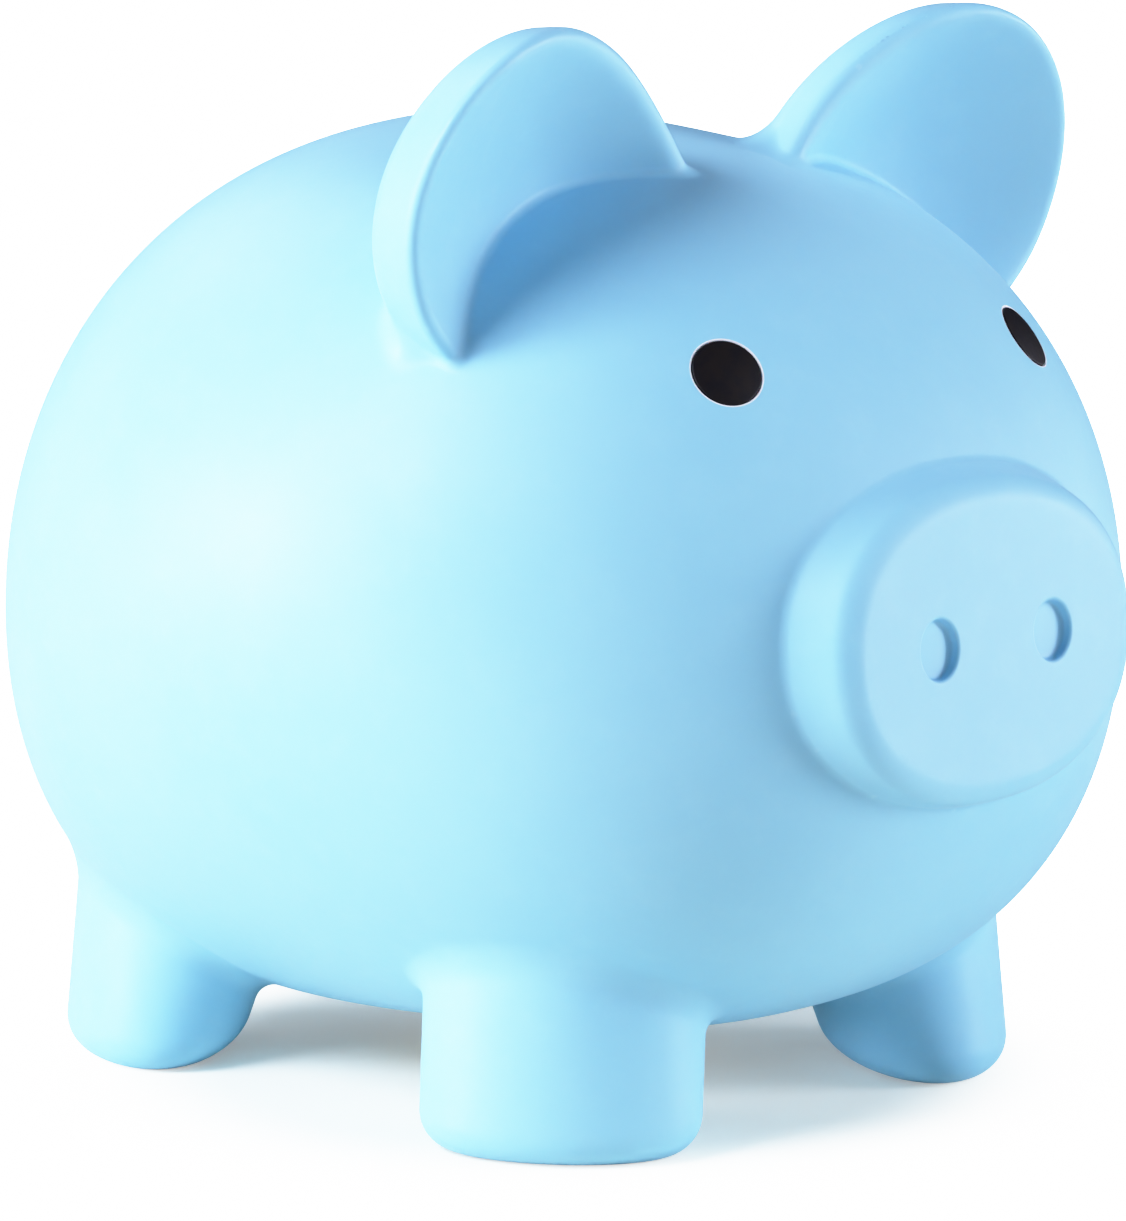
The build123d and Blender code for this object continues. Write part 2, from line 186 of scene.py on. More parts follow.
def ear_parts(pts):
    """Place across and up the ear, and depth behind its scooped front face."""
    rel = mirrored(pts) - EAR_AT
    across, up, ahead = rel @ EAR_ACROSS, rel @ EAR_UP, rel @ EAR_NORMAL
    sheared = across - EAR_SHEAR * up
    reach = (sheared / np.where(sheared > 0, EAR_OUT, EAR_IN)) ** 2
    scoop = EAR_SCOOP * np.maximum(0, 1 - reach - (up / EAR_HALF_Z) ** 2) ** EAR_SCOOP_POWER
    bow = (EAR_BOW_ACROSS * (across / EAR_SPAN_ACROSS) ** 2
           + EAR_BOW_UP * (up / EAR_SPAN_UP) ** 2)
    # the back follows the scoop by half
    return across, up, (bow - ahead - scoop) / (1 - 0.5 * scoop / EAR_THICK)


def ear(pts):
    """Distance to the ears, and the radius of their joint with the body."""
    def outline(spots):
        across, up, depth = ear_parts(spots)
        scale = 1 - (1 - EAR_BACK_SCALE) * np.clip(depth / EAR_THICK, -0.5, 1.5)
        sheared = (across - EAR_SHEAR * up) / scale
        a = sheared / np.where(sheared > 0, EAR_OUT, EAR_IN)
        b = up / scale / EAR_HALF_Z
        power = np.where(sheared > 0, EAR_OUT_POWER, EAR_IN_POWER)
        return (np.abs(a) ** power + np.abs(b) ** power + 1e-12) ** (1 / power) - 1

    across, _, depth = ear_parts(pts)
    # true thickness across the bow
    steep = np.sqrt(slope_squared(lambda spots: ear_parts(spots)[2], pts, depth))
    slab = (np.abs(depth - EAR_THICK / 2) - EAR_THICK / 2) / steep
    # the rim is rounder on the inner side, the joint rounder at the back
    rim = 2.1 + 1.6 * smooth((14.0 - across) / 22.0)
    joint = 1.2 + 3.3 * smooth((depth - 3.0) / 6.0)
    return meet(normed(outline, pts), slab, rim), joint


# ------------------------------------------------------------------ snout and nostrils
SNOUT_TILT = np.radians(4.0)
SNOUT_NORMAL = np.array([0, -np.cos(SNOUT_TILT), np.sin(SNOUT_TILT)])
SNOUT_UP = np.array([0, np.sin(SNOUT_TILT), np.cos(SNOUT_TILT)])
# centre y and z, half width and half height: at the front face, and at a station behind it
FACE_Y, FACE_Z, FACE_HALF_X, FACE_HALF_Z = -77.4, 67.9, 27.3, 20.2
REAR_Y, REAR_Z, REAR_HALF_X, REAR_HALF_Z = -68.0, 68.8, 31.6, 23.1
SNOUT_POWER, SNOUT_END_Y = 2.2, -40.0
FACE_INSET = 4.6                             # from the front face to the hollow
NOSTRIL_X, NOSTRIL_Z, NOSTRIL_HALF_X, NOSTRIL_HALF_Z = 10.9, 68.05, 3.5, 3.9


def snout(pts, inset, face_inset, edge):
    face = np.array([0, FACE_Y, FACE_Z])
    length = REAR_Y - FACE_Y

    def side_raw(spots):
        rel = spots - face
        behind = np.clip(-(rel @ SNOUT_NORMAL), -6, 30)
        half_x = FACE_HALF_X + (REAR_HALF_X - FACE_HALF_X) / length * behind - inset
        half_z = FACE_HALF_Z + (REAR_HALF_Z - FACE_HALF_Z) / length * behind - inset
        rise = (REAR_Z - FACE_Z) / length * behind
        across = np.abs(rel[:, 0] / half_x) ** SNOUT_POWER
        up = np.abs((rel @ SNOUT_UP - rise) / half_z) ** SNOUT_POWER
        return (across + up + 1e-12) ** (1 / SNOUT_POWER) - 1

    front = (pts - face) @ SNOUT_NORMAL + face_inset
    return np.maximum(meet(normed(side_raw, pts), front, edge), pts[:, 1] - SNOUT_END_Y)


# ------------------------------------------------------------------ tail: a curl of rope
TAIL_Z, TAIL_ROPE_R, TAIL_CURL_R, TAIL_OUT = 76.0, 2.6, 5.2, 1.0
TAIL_LEAN = np.radians(9.0)
TAIL_START, TAIL_ARC = 120.0, 290.0          # degrees round the curl
TAIL_TAPER = 0.22


def tail_frame():
    """Middle of the curl, and its sideways, upward and outward axes."""
    low, high = 0.0, 100.0
    for _ in range(50):
        mid = (low + high) / 2
        if body_raw(np.array([[0, mid, TAIL_Z]]))[0] < 0:
            low = mid
        else:
            high = mid
    root = np.array([0, low, TAIL_Z])
    normal = gradient(body_raw, root[None], 0.01)[0]
    normal = normal / np.linalg.norm(normal)
    side = np.array([1.0, 0, 0])
    axis = normal * np.cos(TAIL_LEAN) + np.cross(side, normal) * np.sin(TAIL_LEAN)
    return root + normal * TAIL_OUT, side, np.cross(axis, side), axis


TAIL_MIDDLE, TAIL_SIDE, TAIL_UP, TAIL_AXIS = tail_frame()


def tail(pts):
    rel = pts - TAIL_MIDDLE
    a, b, c = rel @ TAIL_SIDE, rel @ TAIL_UP, rel @ TAIL_AXIS
    turn = (np.degrees(np.arctan2(b, a)) % 360.0 - TAIL_START) % 360.0
    # past the ends, the nearest end's angle
    end = np.where(turn > (TAIL_ARC + 360.0) / 2, 0.0, TAIL_ARC)
    turn = np.where(turn > TAIL_ARC, end, turn)
    angle = np.radians(turn + TAIL_START)
    ring_a, ring_b = TAIL_CURL_R * np.cos(angle), TAIL_CURL_R * np.sin(angle)
    rope_r = TAIL_ROPE_R * (1 - TAIL_TAPER * smooth(turn / TAIL_ARC))
    return np.sqrt((a - ring_a) ** 2 + (b - ring_b) ** 2 + c * c) - rope_r


# ------------------------------------------------------------------ eye sockets, slot, port
EYE_AT = np.array([28.57, -57.03, 102.92])
EYE_NORMAL = np.array([0.3481, -0.7357, 0.5810])
EYE_HOLE_R, EYE_SEAT_DEPTH = 4.62, 1.2
BOSS_R, BOSS_DEPTH = 7.5, 4.4                # thick boss behind each eye socket
SLOT_Y, SLOT_LENGTH, SLOT_WIDTH, SLOT_AXIS_Z = 16.0, 40.0, 5.0, 128.0
PORT_Y, PORT_R = 5.0, 16.5
SEAT_R, SEAT_Z = 20.6, 10.8                  # recess that takes the stopper's flange
LAND_R, LAND_Z = 24.0, 13.6                  # thick land round the port


def outer(pts):
    """The outer face."""
    x, y, z = pts.T
    dist = normed(body_raw, pts)
    zone = z < LEG_ZONE
    for leg_y in LEG_YS:
        dist[zone] = join(dist[zone], leg(pts[zone], leg_y, 0, 5.0), 2.8)
    zone = (z > 84) & (y < 4) & (y > -58)
    ears, joint = ear(pts[zone])
    dist[zone] = join(dist[zone], ears, joint)
    zone = (y < -48) & (z > 30) & (z < 108)
    dist[zone] = join(dist[zone], snout(pts[zone], 0, 0, 2.4), 0.5)
    zone = (y > 60) & (z > 56) & (z < 96) & (np.abs(x) < 18)
    dist[zone] = join(dist[zone], tail(pts[zone]), 1.0)
    return dist


def hollow(pts):
    """The inner face: the space inside the wall."""
    x, y, z = pts.T
    dist = normed(body_raw, pts) + WALL
    zone = z < LEG_ZONE
    for leg_y in LEG_YS:
        dist[zone] = join(dist[zone], leg(pts[zone], leg_y, WALL, 1.5), 3.0)
    zone = (y < -48) & (z > 30) & (z < 108)
    dist[zone] = np.minimum(dist[zone], snout(pts[zone], WALL, FACE_INSET, 1.5))
    zone = (y < -30) & (z > 80) & (z < 122)
    rel = mirrored(pts[zone]) - EYE_AT
    height = rel @ EYE_NORMAL
    radius = np.sqrt(np.maximum((rel * rel).sum(1) - height * height, 0))
    boss = meet(radius - BOSS_R, -height - BOSS_DEPTH, 1.0)
    dist[zone] = meet(dist[zone], -boss, 1.0)
    land = np.maximum(np.hypot(x, y - PORT_Y) - LAND_R, z - LAND_Z)
    return meet(dist, -land, 1.0)


# ------------------------------------------------------------------ surface nets
CORNERS = [(a, b, c) for a in (0, 1) for b in (0, 1) for c in (0, 1)]


def cell_table():
    """The 12 edges of a grid cell, their numbers by (axis, offsets), and for each of the 256
    corner patterns the surface loop each edge belongs to and the number of loops."""
    edges, number = [], {}
    for axis in range(3):
        across = [k for k in range(3) if k != axis]
        for d1 in (0, 1):
            for d2 in (0, 1):
                start = [0, 0, 0]
                start[across[0]], start[across[1]] = d1, d2
                end = list(start)
                end[axis] = 1
                number[(axis, d1, d2)] = len(edges)
                edges.append((CORNERS.index(tuple(start)), CORNERS.index(tuple(end))))
    sides = []
    for axis in range(3):
        for level in (0, 1):
            flat = [i for i, corner in enumerate(CORNERS) if corner[axis] == level]
            sides.append([k for k, (a, b) in enumerate(edges) if a in flat and b in flat])
    loop_of = np.zeros((256, 12), np.int64)
    loop_count = np.zeros(256, np.int64)
    for code in range(256):
        inside = [(code >> i) & 1 for i in range(8)]
        cut = [k for k, (a, b) in enumerate(edges) if inside[a] != inside[b]]
        root = {k: k for k in cut}

        def find(k):
            while root[k] != k:
                k = root[k]
            return k

        for side in sides:
            side_cut = [k for k in side if k in root]
            if len(side_cut) == 2:
                root[find(side_cut[0])] = find(side_cut[1])
            elif len(side_cut) == 4:
                # each inside corner of the side is cut off on its own
                for i in range(4):
                    for j in range(i + 1, 4):
                        shared = set(edges[side_cut[i]]) & set(edges[side_cut[j]])
                        if shared and inside[shared.pop()]:
                            root[find(side_cut[i])] = find(side_cut[j])
        names = {}
        for k in cut:
            loop_of[code, k] = names.setdefault(find(k), len(names))
        loop_count[code] = len(names)
    return edges, number, loop_of, loop_count


def surface_net(field, low, high, step):
    """Points and quads of the field's zero surface, one point per loop in each cell."""
    edges, number, loop_of, loop_count = cell_table()
    ticks = [np.arange(low[k], high[k] + step, step) for k in range(3)]
    size = [len(t) for t in ticks]
    grid = np.empty(size)
    yy, zz = np.meshgrid(ticks[1], ticks[2], indexing="ij")
    block = max(1, 400000 // yy.size)        # limits memory
    for i in range(0, size[0], block):
        xs = ticks[0][i:i + block]
        pts = rows(np.repeat(xs, yy.size), np.tile(yy.ravel(), len(xs)),
                   np.tile(zz.ravel(), len(xs)))
        grid[i:i + block] = field(pts).reshape(len(xs), size[1], size[2])
    inside = grid < 0
    parts = [grid[a:size[0] - 1 + a, b:size[1] - 1 + b, c:size[2] - 1 + c]
             for a, b, c in CORNERS]
    code = sum(((part < 0).astype(np.int64) << i) for i, part in enumerate(parts))
    mixed = (code > 0) & (code < 255)
    cells = np.argwhere(mixed)
    code = code[mixed]
    first = np.concatenate([[0], np.cumsum(loop_count[code])])
    cell_id = -np.ones(mixed.shape, np.int64)
    cell_id[mixed] = np.arange(len(cells))
    values = rows(*[part[mixed] for part in parts])
    offsets = np.array(CORNERS, float)
    total = np.zeros((first[-1], 3))
    hits = np.zeros(first[-1])
    for k, (start, end) in enumerate(edges):
        a, b = values[:, start], values[:, end]
        cut = np.flatnonzero((a < 0) != (b < 0))
        t = (a[cut] / (a[cut] - b[cut]))[:, None]
        owner = first[cut] + loop_of[code[cut], k]
        crossing = cells[cut] + offsets[start] + t * (offsets[end] - offsets[start])
        np.add.at(total, owner, crossing)
        np.add.at(hits, owner, 1)
    verts = np.array(low) + step * total / hits[:, None]
    quads = []
    for axis in range(3):
        o1, o2 = [k for k in range(3) if k != axis]
        spots = np.argwhere(np.diff(inside, axis=axis))
        within = ((spots[:, o1] > 0) & (spots[:, o2] > 0)
                  & (spots[:, o1] < size[o1] - 1) & (spots[:, o2] < size[o2] - 1))
        spots = spots[within]

        def vert(d1, d2):
            cell = spots.copy()
            cell[:, o1] -= d1
            cell[:, o2] -= d2
            i = cell_id[tuple(cell.T)]
            return first[i] + loop_of[code[i], number[(axis, d1, d2)]]

        quad = rows(vert(1, 1), vert(0, 1), vert(0, 0), vert(1, 0))
        keep = inside[tuple(spots.T)]
        if axis == 1:
            keep = ~keep
        quad[~keep] = quad[~keep][:, ::-1]
        quads.append(quad)
    return verts, np.concatenate(quads)


# ------------------------------------------------------------------ triangle refinement
def triangles(verts, quads):
    """Each quad cut along its shorter diagonal."""
    a, b, c, d = (verts[quads[:, k]] for k in range(4))
    short = np.linalg.norm(a - c, axis=1) < np.linalg.norm(b - d, axis=1)
    one, two = quads[short], quads[~short]
    return np.concatenate([one[:, [0, 1, 2]], one[:, [0, 2, 3]],
                           two[:, [0, 1, 3]], two[:, [1, 2, 3]]])


def edges_of(tris):
    """The edges, and the numbers of each triangle's three edges."""
    ends = np.concatenate([tris[:, [0, 1]], tris[:, [1, 2]], tris[:, [2, 0]]])
    ends.sort(axis=1)
    key = ends[:, 0].astype(np.int64) * (tris.max() + 1) + ends[:, 1]
    _, first, inverse = np.unique(key, return_index=True, return_inverse=True)
    return ends[first], inverse.reshape(3, -1).T


def split(verts, tris, edges, tri_edges, mark):
    """Splits the marked edges and fills their triangles again without leaving gaps."""
    new_id = -np.ones(len(edges), np.int64)
    cut = np.flatnonzero(mark)
    new_id[cut] = len(verts) + np.arange(len(cut))
    verts = np.concatenate([verts, (verts[edges[cut, 0]] + verts[edges[cut, 1]]) / 2])
    marked = mark[tri_edges]
    count = marked.sum(1)
    out = [tris[count == 0]]
    for cuts in (1, 2, 3):
        chosen = count == cuts
        tri, flags, fresh = tris[chosen], marked[chosen], new_id[tri_edges[chosen]]
        if cuts == 1:
            turn = flags.argmax(1)
        elif cuts == 2:
            turn = (flags.argmin(1) + 1) % 3
        else:
            turn = np.zeros(len(tri), int)
        row = np.arange(len(tri))
        a, b, c = (tri[row, (turn + k) % 3] for k in range(3))
        ab, bc, ca = (fresh[row, (turn + k) % 3] for k in range(3))
        if cuts == 1:
            out += [rows(a, ab, c), rows(ab, b, c)]
        elif cuts == 2:
            short = (np.linalg.norm(verts[ab] - verts[c], axis=1)
                     < np.linalg.norm(verts[a] - verts[bc], axis=1))
            out.append(rows(ab, b, bc))
            out += [rows(a, ab, c)[short], rows(ab, bc, c)[short]]
            out += [rows(a, ab, bc)[~short], rows(a, bc, c)[~short]]
        else:
            out += [rows(a, ab, ca), rows(ab, b, bc), rows(ca, bc, c), rows(ab, bc, ca)]
    return verts, np.concatenate(out)


def project(field, verts, steps, limit=0.8):
    """Moves the points onto the surface, by no more than the limit in a step."""
    for _ in range(steps):
        grad = gradient(field, verts)
        move = -(field(verts) / np.maximum((grad * grad).sum(1), 0.05))[:, None] * grad
        length = np.linalg.norm(move, axis=1)
        verts = verts + move * np.minimum(1, limit / np.maximum(length, 1e-9))[:, None]
    return verts


def normals_of(field, verts):
    return unit_rows(gradient(field, verts, 0.01), 1e-9)


def relax(field, verts, tris, rounds, amount):
    """Evens out the triangles while the points stay on the surface."""
    start, end = edges_of(tris)[0].T
    count = len(verts)
    degree = np.bincount(start, minlength=count) + np.bincount(end, minlength=count)
    degree = np.maximum(degree, 1).astype(float)
    for _ in range(rounds):
        normals = normals_of(field, verts)
        total = rows(*[np.bincount(start, verts[end, k], count)
                       + np.bincount(end, verts[start, k], count) for k in range(3)])
        move = (total / degree[:, None] - verts) * amount
        move -= (move * normals).sum(1)[:, None] * normals
        verts = project(field, verts + move, 1, 0.5)
    return verts


def refine(field, verts, tris, passes):
    """Splits edges across which the surface turns by more than an angle, down to a length."""
    for angle, shortest in passes:
        normals = normals_of(field, verts)
        edges, tri_edges = edges_of(tris)
        start, end = edges.T
        cosine = np.clip((normals[start] * normals[end]).sum(1), -1, 1)
        length = np.linalg.norm(verts[start] - verts[end], axis=1)
        mark = (np.degrees(np.arccos(cosine)) > angle) & (length > shortest)
        verts, tris = split(verts, tris, edges, tri_edges, mark)
        verts = project(field, verts, 2, 0.5)
        verts = relax(field, verts, tris, 2, 0.4)
    return verts, tris


def mesh_field(field, low, high, step, passes=(), projections=2):
    """Points, triangles and normals of the field's surface."""
    verts, quads = surface_net(field, low, high, step)
    tris = triangles(verts, quads)
    verts = project(field, verts, projections)
    verts = relax(field, verts, tris, 3, 0.5)
    verts, tris = refine(field, verts, tris, passes)
    return verts, tris, normals_of(field, verts)


def mesh_normals(verts, tris):
    """Point normals, weighted by the angle of each triangle's corner."""
    a, b, c = (verts[tris[:, k]] for k in range(3))
    face_normals = unit_rows(np.cross(b - a, c - a), 1e-12)
    normals = np.zeros_like(verts)
    for k in range(3):
        here, after, before = (verts[tris[:, (k + i) % 3]] for i in range(3))
        edge1, edge2 = unit_rows(after - here, 1e-12), unit_rows(before - here, 1e-12)
        angle = np.arccos(np.clip((edge1 * edge2).sum(1), -1, 1))
        for m in range(3):
            normals[:, m] += np.bincount(tris[:, k], face_normals[:, m] * angle, len(verts))
    return unit_rows(normals, 1e-12)


# ------------------------------------------------------------------ openings, cut in as rings
def border(tris, gone):
    """The closed line round the triangles marked gone, in the order those triangles turn."""
    lost = tris[gone]
    ends = np.concatenate([lost[:, [0, 1]], lost[:, [1, 2]], lost[:, [2, 0]]])
    have = set(map(tuple, ends.tolist()))
    following = {}
    for a, b in have:
        if (b, a) not in have:
            assert a not in following, "the border touches itself"
            following[a] = b
    start = min(following)
    loop, current = [start], following[start]
    while current != start:
        loop.append(current)
        current = following[current]
    assert len(loop) == len(following), "more than one border"
    return np.array(loop)


def zipper(wide, wide_t, tight, tight_t):
    """Triangles between two closed lines that run the same way; t goes once from 0 to 1."""
    wide = np.roll(wide, -int(np.argmin(wide_t)))
    tight = np.roll(tight, -int(np.argmin(tight_t)))
    wide_t, tight_t = np.sort(wide_t), np.sort(tight_t)
    wide_t, tight_t = np.append(wide_t, wide_t[0] + 1), np.append(tight_t, tight_t[0] + 1)
    n, m = len(wide), len(tight)
    i = j = 0
    out = []
    while i < n or j < m:
        if j == m or (i < n and wide_t[i] + wide_t[i + 1] <= tight_t[j] + tight_t[j + 1]):
            out.append((wide[i % n], wide[(i + 1) % n], tight[j % m]))
            i += 1
        else:
            out.append((wide[i % n], tight[(j + 1) % m], tight[j % m]))
            j += 1
    return np.array(out)


def quarter(radius, count):
    """(sideways, down) along a rounded edge, from the skin to the wall."""
    return [(radius * math.sin(math.radians(a)), radius * (1 - math.cos(math.radians(a))))
            for a in np.linspace(0.0, 90.0, count)]


class Opening:
    """An opening or recess: an axis and an outline across it, from which rings are made.

    Offsets are outwards from the outline, heights are along the axis."""

    def __init__(self, origin, normal, across, outline, count):
        self.origin, self.normal = np.array(origin, float), np.array(normal, float)
        across = np.array(across, float)
        across -= (across @ self.normal) * self.normal
        self.across = across / np.linalg.norm(across)
        self.other = np.cross(self.normal, self.across)
        self.line, self.outward = outline(count)
        self.count = count

    def at(self, offset, height, scale=1.0):
        flat = (self.line + self.outward * offset) * scale
        return (self.origin + flat[:, :1] * self.across + flat[:, 1:] * self.other
                + np.reshape(height, (-1, 1)) * self.normal)

    def height(self, field, offset, low, high):
        """Height at which the outline moved out by the offset meets the field's surface."""
        a, b = np.full(self.count, float(low)), np.full(self.count, float(high))
        start = field(self.at(offset, a))
        for _ in range(40):
            mid = (a + b) / 2
            same = (field(self.at(offset, mid)) > 0) == (start > 0)
            a, b = np.where(same, mid, a), np.where(same, b, mid)
        return (a + b) / 2

    def on(self, field, offsets, low, high):
        """Rings that lie on a surface."""
        return [self.at(s, self.height(field, s, low, high)) for s in offsets]

    def lip(self, offset, level, radius, count):
        """Rings over a rounded edge, from the face at this level down to the wall."""
        return [self.at(offset + radius - side, level - down)
                for side, down in quarter(radius, count)]

    def exit_lip(self, offset, level, radius, count):
        """Rings over a rounded edge, from the wall out to the far face at this level."""
        return [self.at(offset + radius - side, level + down)
                for side, down in quarter(radius, count)[::-1]]

    def corner(self, offset, level, radius, count):
        """Rings through a hollow corner, from the wall at this level to a floor."""
        return [self.at(offset - down, level - side) for side, down in quarter(radius, count)]

    def flat(self, verts):
        rel = verts - self.origin
        return rows(rel @ self.across, rel @ self.other)

    def order(self, verts):
        """Place of each point along the outline, 0 to 1."""
        parts = 16
        step = np.roll(self.line, -1, 0) - self.line
        fine = np.concatenate([self.line + step * (i / parts) for i in range(parts)])
        place = np.concatenate([(np.arange(self.count) + i / parts) / self.count
                                for i in range(parts)])
        near = ((self.flat(verts)[:, None] - fine[None]) ** 2).sum(2).argmin(1)
        return place[near]

    def reach(self, verts):
        """How far each point lies outside the outline, across the axis."""
        flat = self.flat(verts)
        out = np.empty(len(verts))
        block = 20000                        # limits memory
        for k in range(0, len(verts), block):
            gap = flat[k:k + block, None] - self.line[None]
            near = (gap ** 2).sum(2).argmin(1)
            row = np.arange(len(near))
            out[k:k + block] = (gap[row, near] * self.outward[near]).sum(1)
        return out


def circle(radius):
    def make(count):
        a = np.arange(count) * 2 * np.pi / count
        outward = rows(np.cos(a), np.sin(a))
        return outward * radius, outward
    return make


def oval(half_x, half_z):
    def make(count):
        t = np.arange(count) * 2 * np.pi / count
        outward = rows(np.cos(t) / half_x, np.sin(t) / half_z)
        return (rows(half_x * np.cos(t), half_z * np.sin(t)),
                outward / np.linalg.norm(outward, axis=1)[:, None])
    return make


def stadium(length, width):
    """A slot with round ends; it is width across and runs along the second axis."""
    def make(count):
        r, half = width / 2, (length - width) / 2
        total = 4 * half + 2 * np.pi * r
        line, outward = [], []

        def add_arc(angle, middle):
            normal = (np.cos(angle), np.sin(angle))
            line.append((r * normal[0], middle + r * normal[1]))
            outward.append(normal)

        for s in np.arange(count) * total / count:
            if s < half:
                line.append((r, s))
                outward.append((1, 0))
            elif s < half + np.pi * r:
                add_arc((s - half) / r, half)
            elif s < 3 * half + np.pi * r:
                line.append((-r, half - (s - half - np.pi * r)))
                outward.append((-1, 0))
            elif s < 3 * half + 2 * np.pi * r:
                add_arc(np.pi + (s - 3 * half - np.pi * r) / r, -half)
            else:
                line.append((r, -half + (s - 3 * half - 2 * np.pi * r)))
                outward.append((1, 0))
        return np.array(line, float), np.array(outward, float)
    return make


def cut_in(verts, tris, opening, gap, near, rings, through=None):
    """Takes out the triangles within gap of the outline where near holds, and puts the rings in.

    through is a second gap and test, for an opening that comes out on the inner face."""
    extent = np.abs(opening.line).max() + gap + 16
    close = np.flatnonzero(np.linalg.norm(verts - opening.origin, axis=1) < extent)
    reach = np.full(len(verts), 99.0)
    reach[close] = opening.reach(verts[close])

    def clear(gap, near):
        gone = ((reach < gap) & near(verts))[tris].any(1)
        return border(tris, gone), gone

    loop, gone = clear(gap, near)
    count = opening.count
    points = np.concatenate(rings)
    ids = [len(verts) + k * count + np.arange(count) for k in range(len(rings))]
    last = ids[-1]
    place = np.arange(count) / count
    added = [zipper(loop, opening.order(verts[loop]), ids[0], place)]
    for a, b in zip(ids[:-1], ids[1:]):
        a1, b1 = np.roll(a, -1), np.roll(b, -1)
        added += [rows(a, a1, b), rows(a1, b1, b)]
    if through:
        far_loop, far_gone = clear(*through)
        far_loop = far_loop[::-1]
        added.append(zipper(last, place, far_loop, opening.order(verts[far_loop])))
        gone = gone | far_gone
    else:
        points = np.concatenate([points, rings[-1].mean(0)[None]])
        middle = len(verts) + len(points) - 1
        added.append(rows(last, np.roll(last, -1), np.full(count, middle)))
    return np.concatenate([verts, points]), np.concatenate([tris[~gone]] + added)


# (offset, height) down an eye socket: its wall, its flat seat and the stem hole
SOCKET_WALL = (
    (0.0, -0.55), (0.0, -0.85), (0.0, -1.05), (-0.03, -1.14), (-0.10, -EYE_SEAT_DEPTH),
    (-0.6, -EYE_SEAT_DEPTH), (-1.3, -EYE_SEAT_DEPTH), (-2.0, -EYE_SEAT_DEPTH),
    (-2.3, -EYE_SEAT_DEPTH), (-2.47, -EYE_SEAT_DEPTH),
    (-2.54, -1.23), (-2.57, -1.30), (-2.57, -2.2), (-2.57, -3.2),
)


def eye_rings(op):
    lip, exit_lip, stem_hole = 0.22, 0.3, -2.57
    rings = op.on(outer, (2.9, 2.2, 1.6, 1.15, 0.8, 0.55, 0.38, 0.28), -6, 6)
    rings += op.lip(0.0, op.height(outer, lip, -6, 6), lip, 6)
    rings += [op.at(s, t) for s, t in SOCKET_WALL]
    far = op.height(hollow, stem_hole + exit_lip, -9, -2)
    rings += op.exit_lip(stem_hole, far, exit_lip, 4)
    return rings + op.on(hollow, (-1.9,), -9, -2)


def nostril_rings(op):
    floor_r, floor_top, wall_offset = 0.5, -0.85, -0.06
    rings = [op.at(s, 0.0) for s in (1.5, 1.05, 0.78, 0.62, 0.53)]
    rings += op.lip(0.0, 0.0, 0.45, 6)
    rings += [op.at(s, t) for s, t in ((-0.02, -0.57), (-0.04, -0.69), (wall_offset, -0.8))]
    rings += op.corner(wall_offset, floor_top, floor_r, 6)[1:]
    return rings + [op.at(wall_offset - floor_r, floor_top - floor_r, scale)
                    for scale in (0.85, 0.65, 0.42, 0.2)]


def slot_rings(op):
    lip, exit_lip = 0.8, 0.6
    rings = op.on(outer, (3.0, 2.2, 1.6, 1.15, 0.9), -30, 30)
    top = op.height(outer, lip, -30, 30)
    rings += op.lip(0.0, top, lip, 7)
    far = op.height(hollow, exit_lip, -30, 30)
    rings += [op.at(0.0, (top - lip) * (1 - k) + (far + exit_lip) * k) for k in (0.35, 0.7)]
    rings += op.exit_lip(0.0, far, exit_lip, 5)
    return rings + op.on(hollow, (0.9, 1.5, 2.2), -30, 30)


def port_rings(op):
    """The axis points down, so heights are measured down from z = 0."""
    seat = SEAT_R - PORT_R
    lip, corner = 0.5, 0.3
    rings = op.on(outer, [seat + s for s in (3.2, 2.4, 1.8, 1.3, 0.9, 0.6)], -20, -0.5)
    top = op.height(outer, seat + lip, -20, -0.5)
    rings += op.lip(seat, top, lip, 6)
    rings += [op.at(seat, (top - lip) * (1 - k) + (-SEAT_Z + corner) * k) for k in (0.4, 0.75)]
    rings += op.corner(seat, -SEAT_Z + corner, corner, 4)
    rings += [op.at(s, -SEAT_Z) for s in (3.6, 2.2, 1.0, 0.6)]
    rings += op.lip(0.0, -SEAT_Z, 0.4, 6)
    rings.append(op.at(0.0, -LAND_Z + 1.2))
    rings += op.exit_lip(0.0, -LAND_Z, 0.5, 5)
    return rings + [op.at(s, -LAND_Z) for s in (0.9, 1.5, 2.2)]


# ------------------------------------------------------------------ objects
def add_object(name, mesh, material):
    ob = bpy.data.objects.new(name, mesh)
    bpy.context.scene.collection.objects.link(ob)
    mesh.materials.append(material)
    return ob


def triangle_object(name, verts, tris, normals, material):
    mesh = bpy.data.meshes.new(name)
    mesh.vertices.add(len(verts))
    mesh.vertices.foreach_set("co", (verts * MM).astype(np.float32).ravel())
    mesh.loops.add(tris.size)
    mesh.loops.foreach_set("vertex_index", tris.astype(np.int32).ravel())
    mesh.polygons.add(len(tris))
    mesh.polygons.foreach_set("loop_start", np.arange(0, tris.size, 3, dtype=np.int32))
    mesh.polygons.foreach_set("use_smooth", np.ones(len(tris), bool))
    mesh.update(calc_edges=True)
    mesh.validate()
    mesh.normals_split_custom_set_from_vertices(normals.astype(float).tolist())
    return add_object(name, mesh, material)


def on_outer(pts):
    return np.abs(outer(pts)) < 0.4


def on_hollow(pts):
    return (np.abs(hollow(pts)) < 0.4) & (outer(pts) < -0.8)


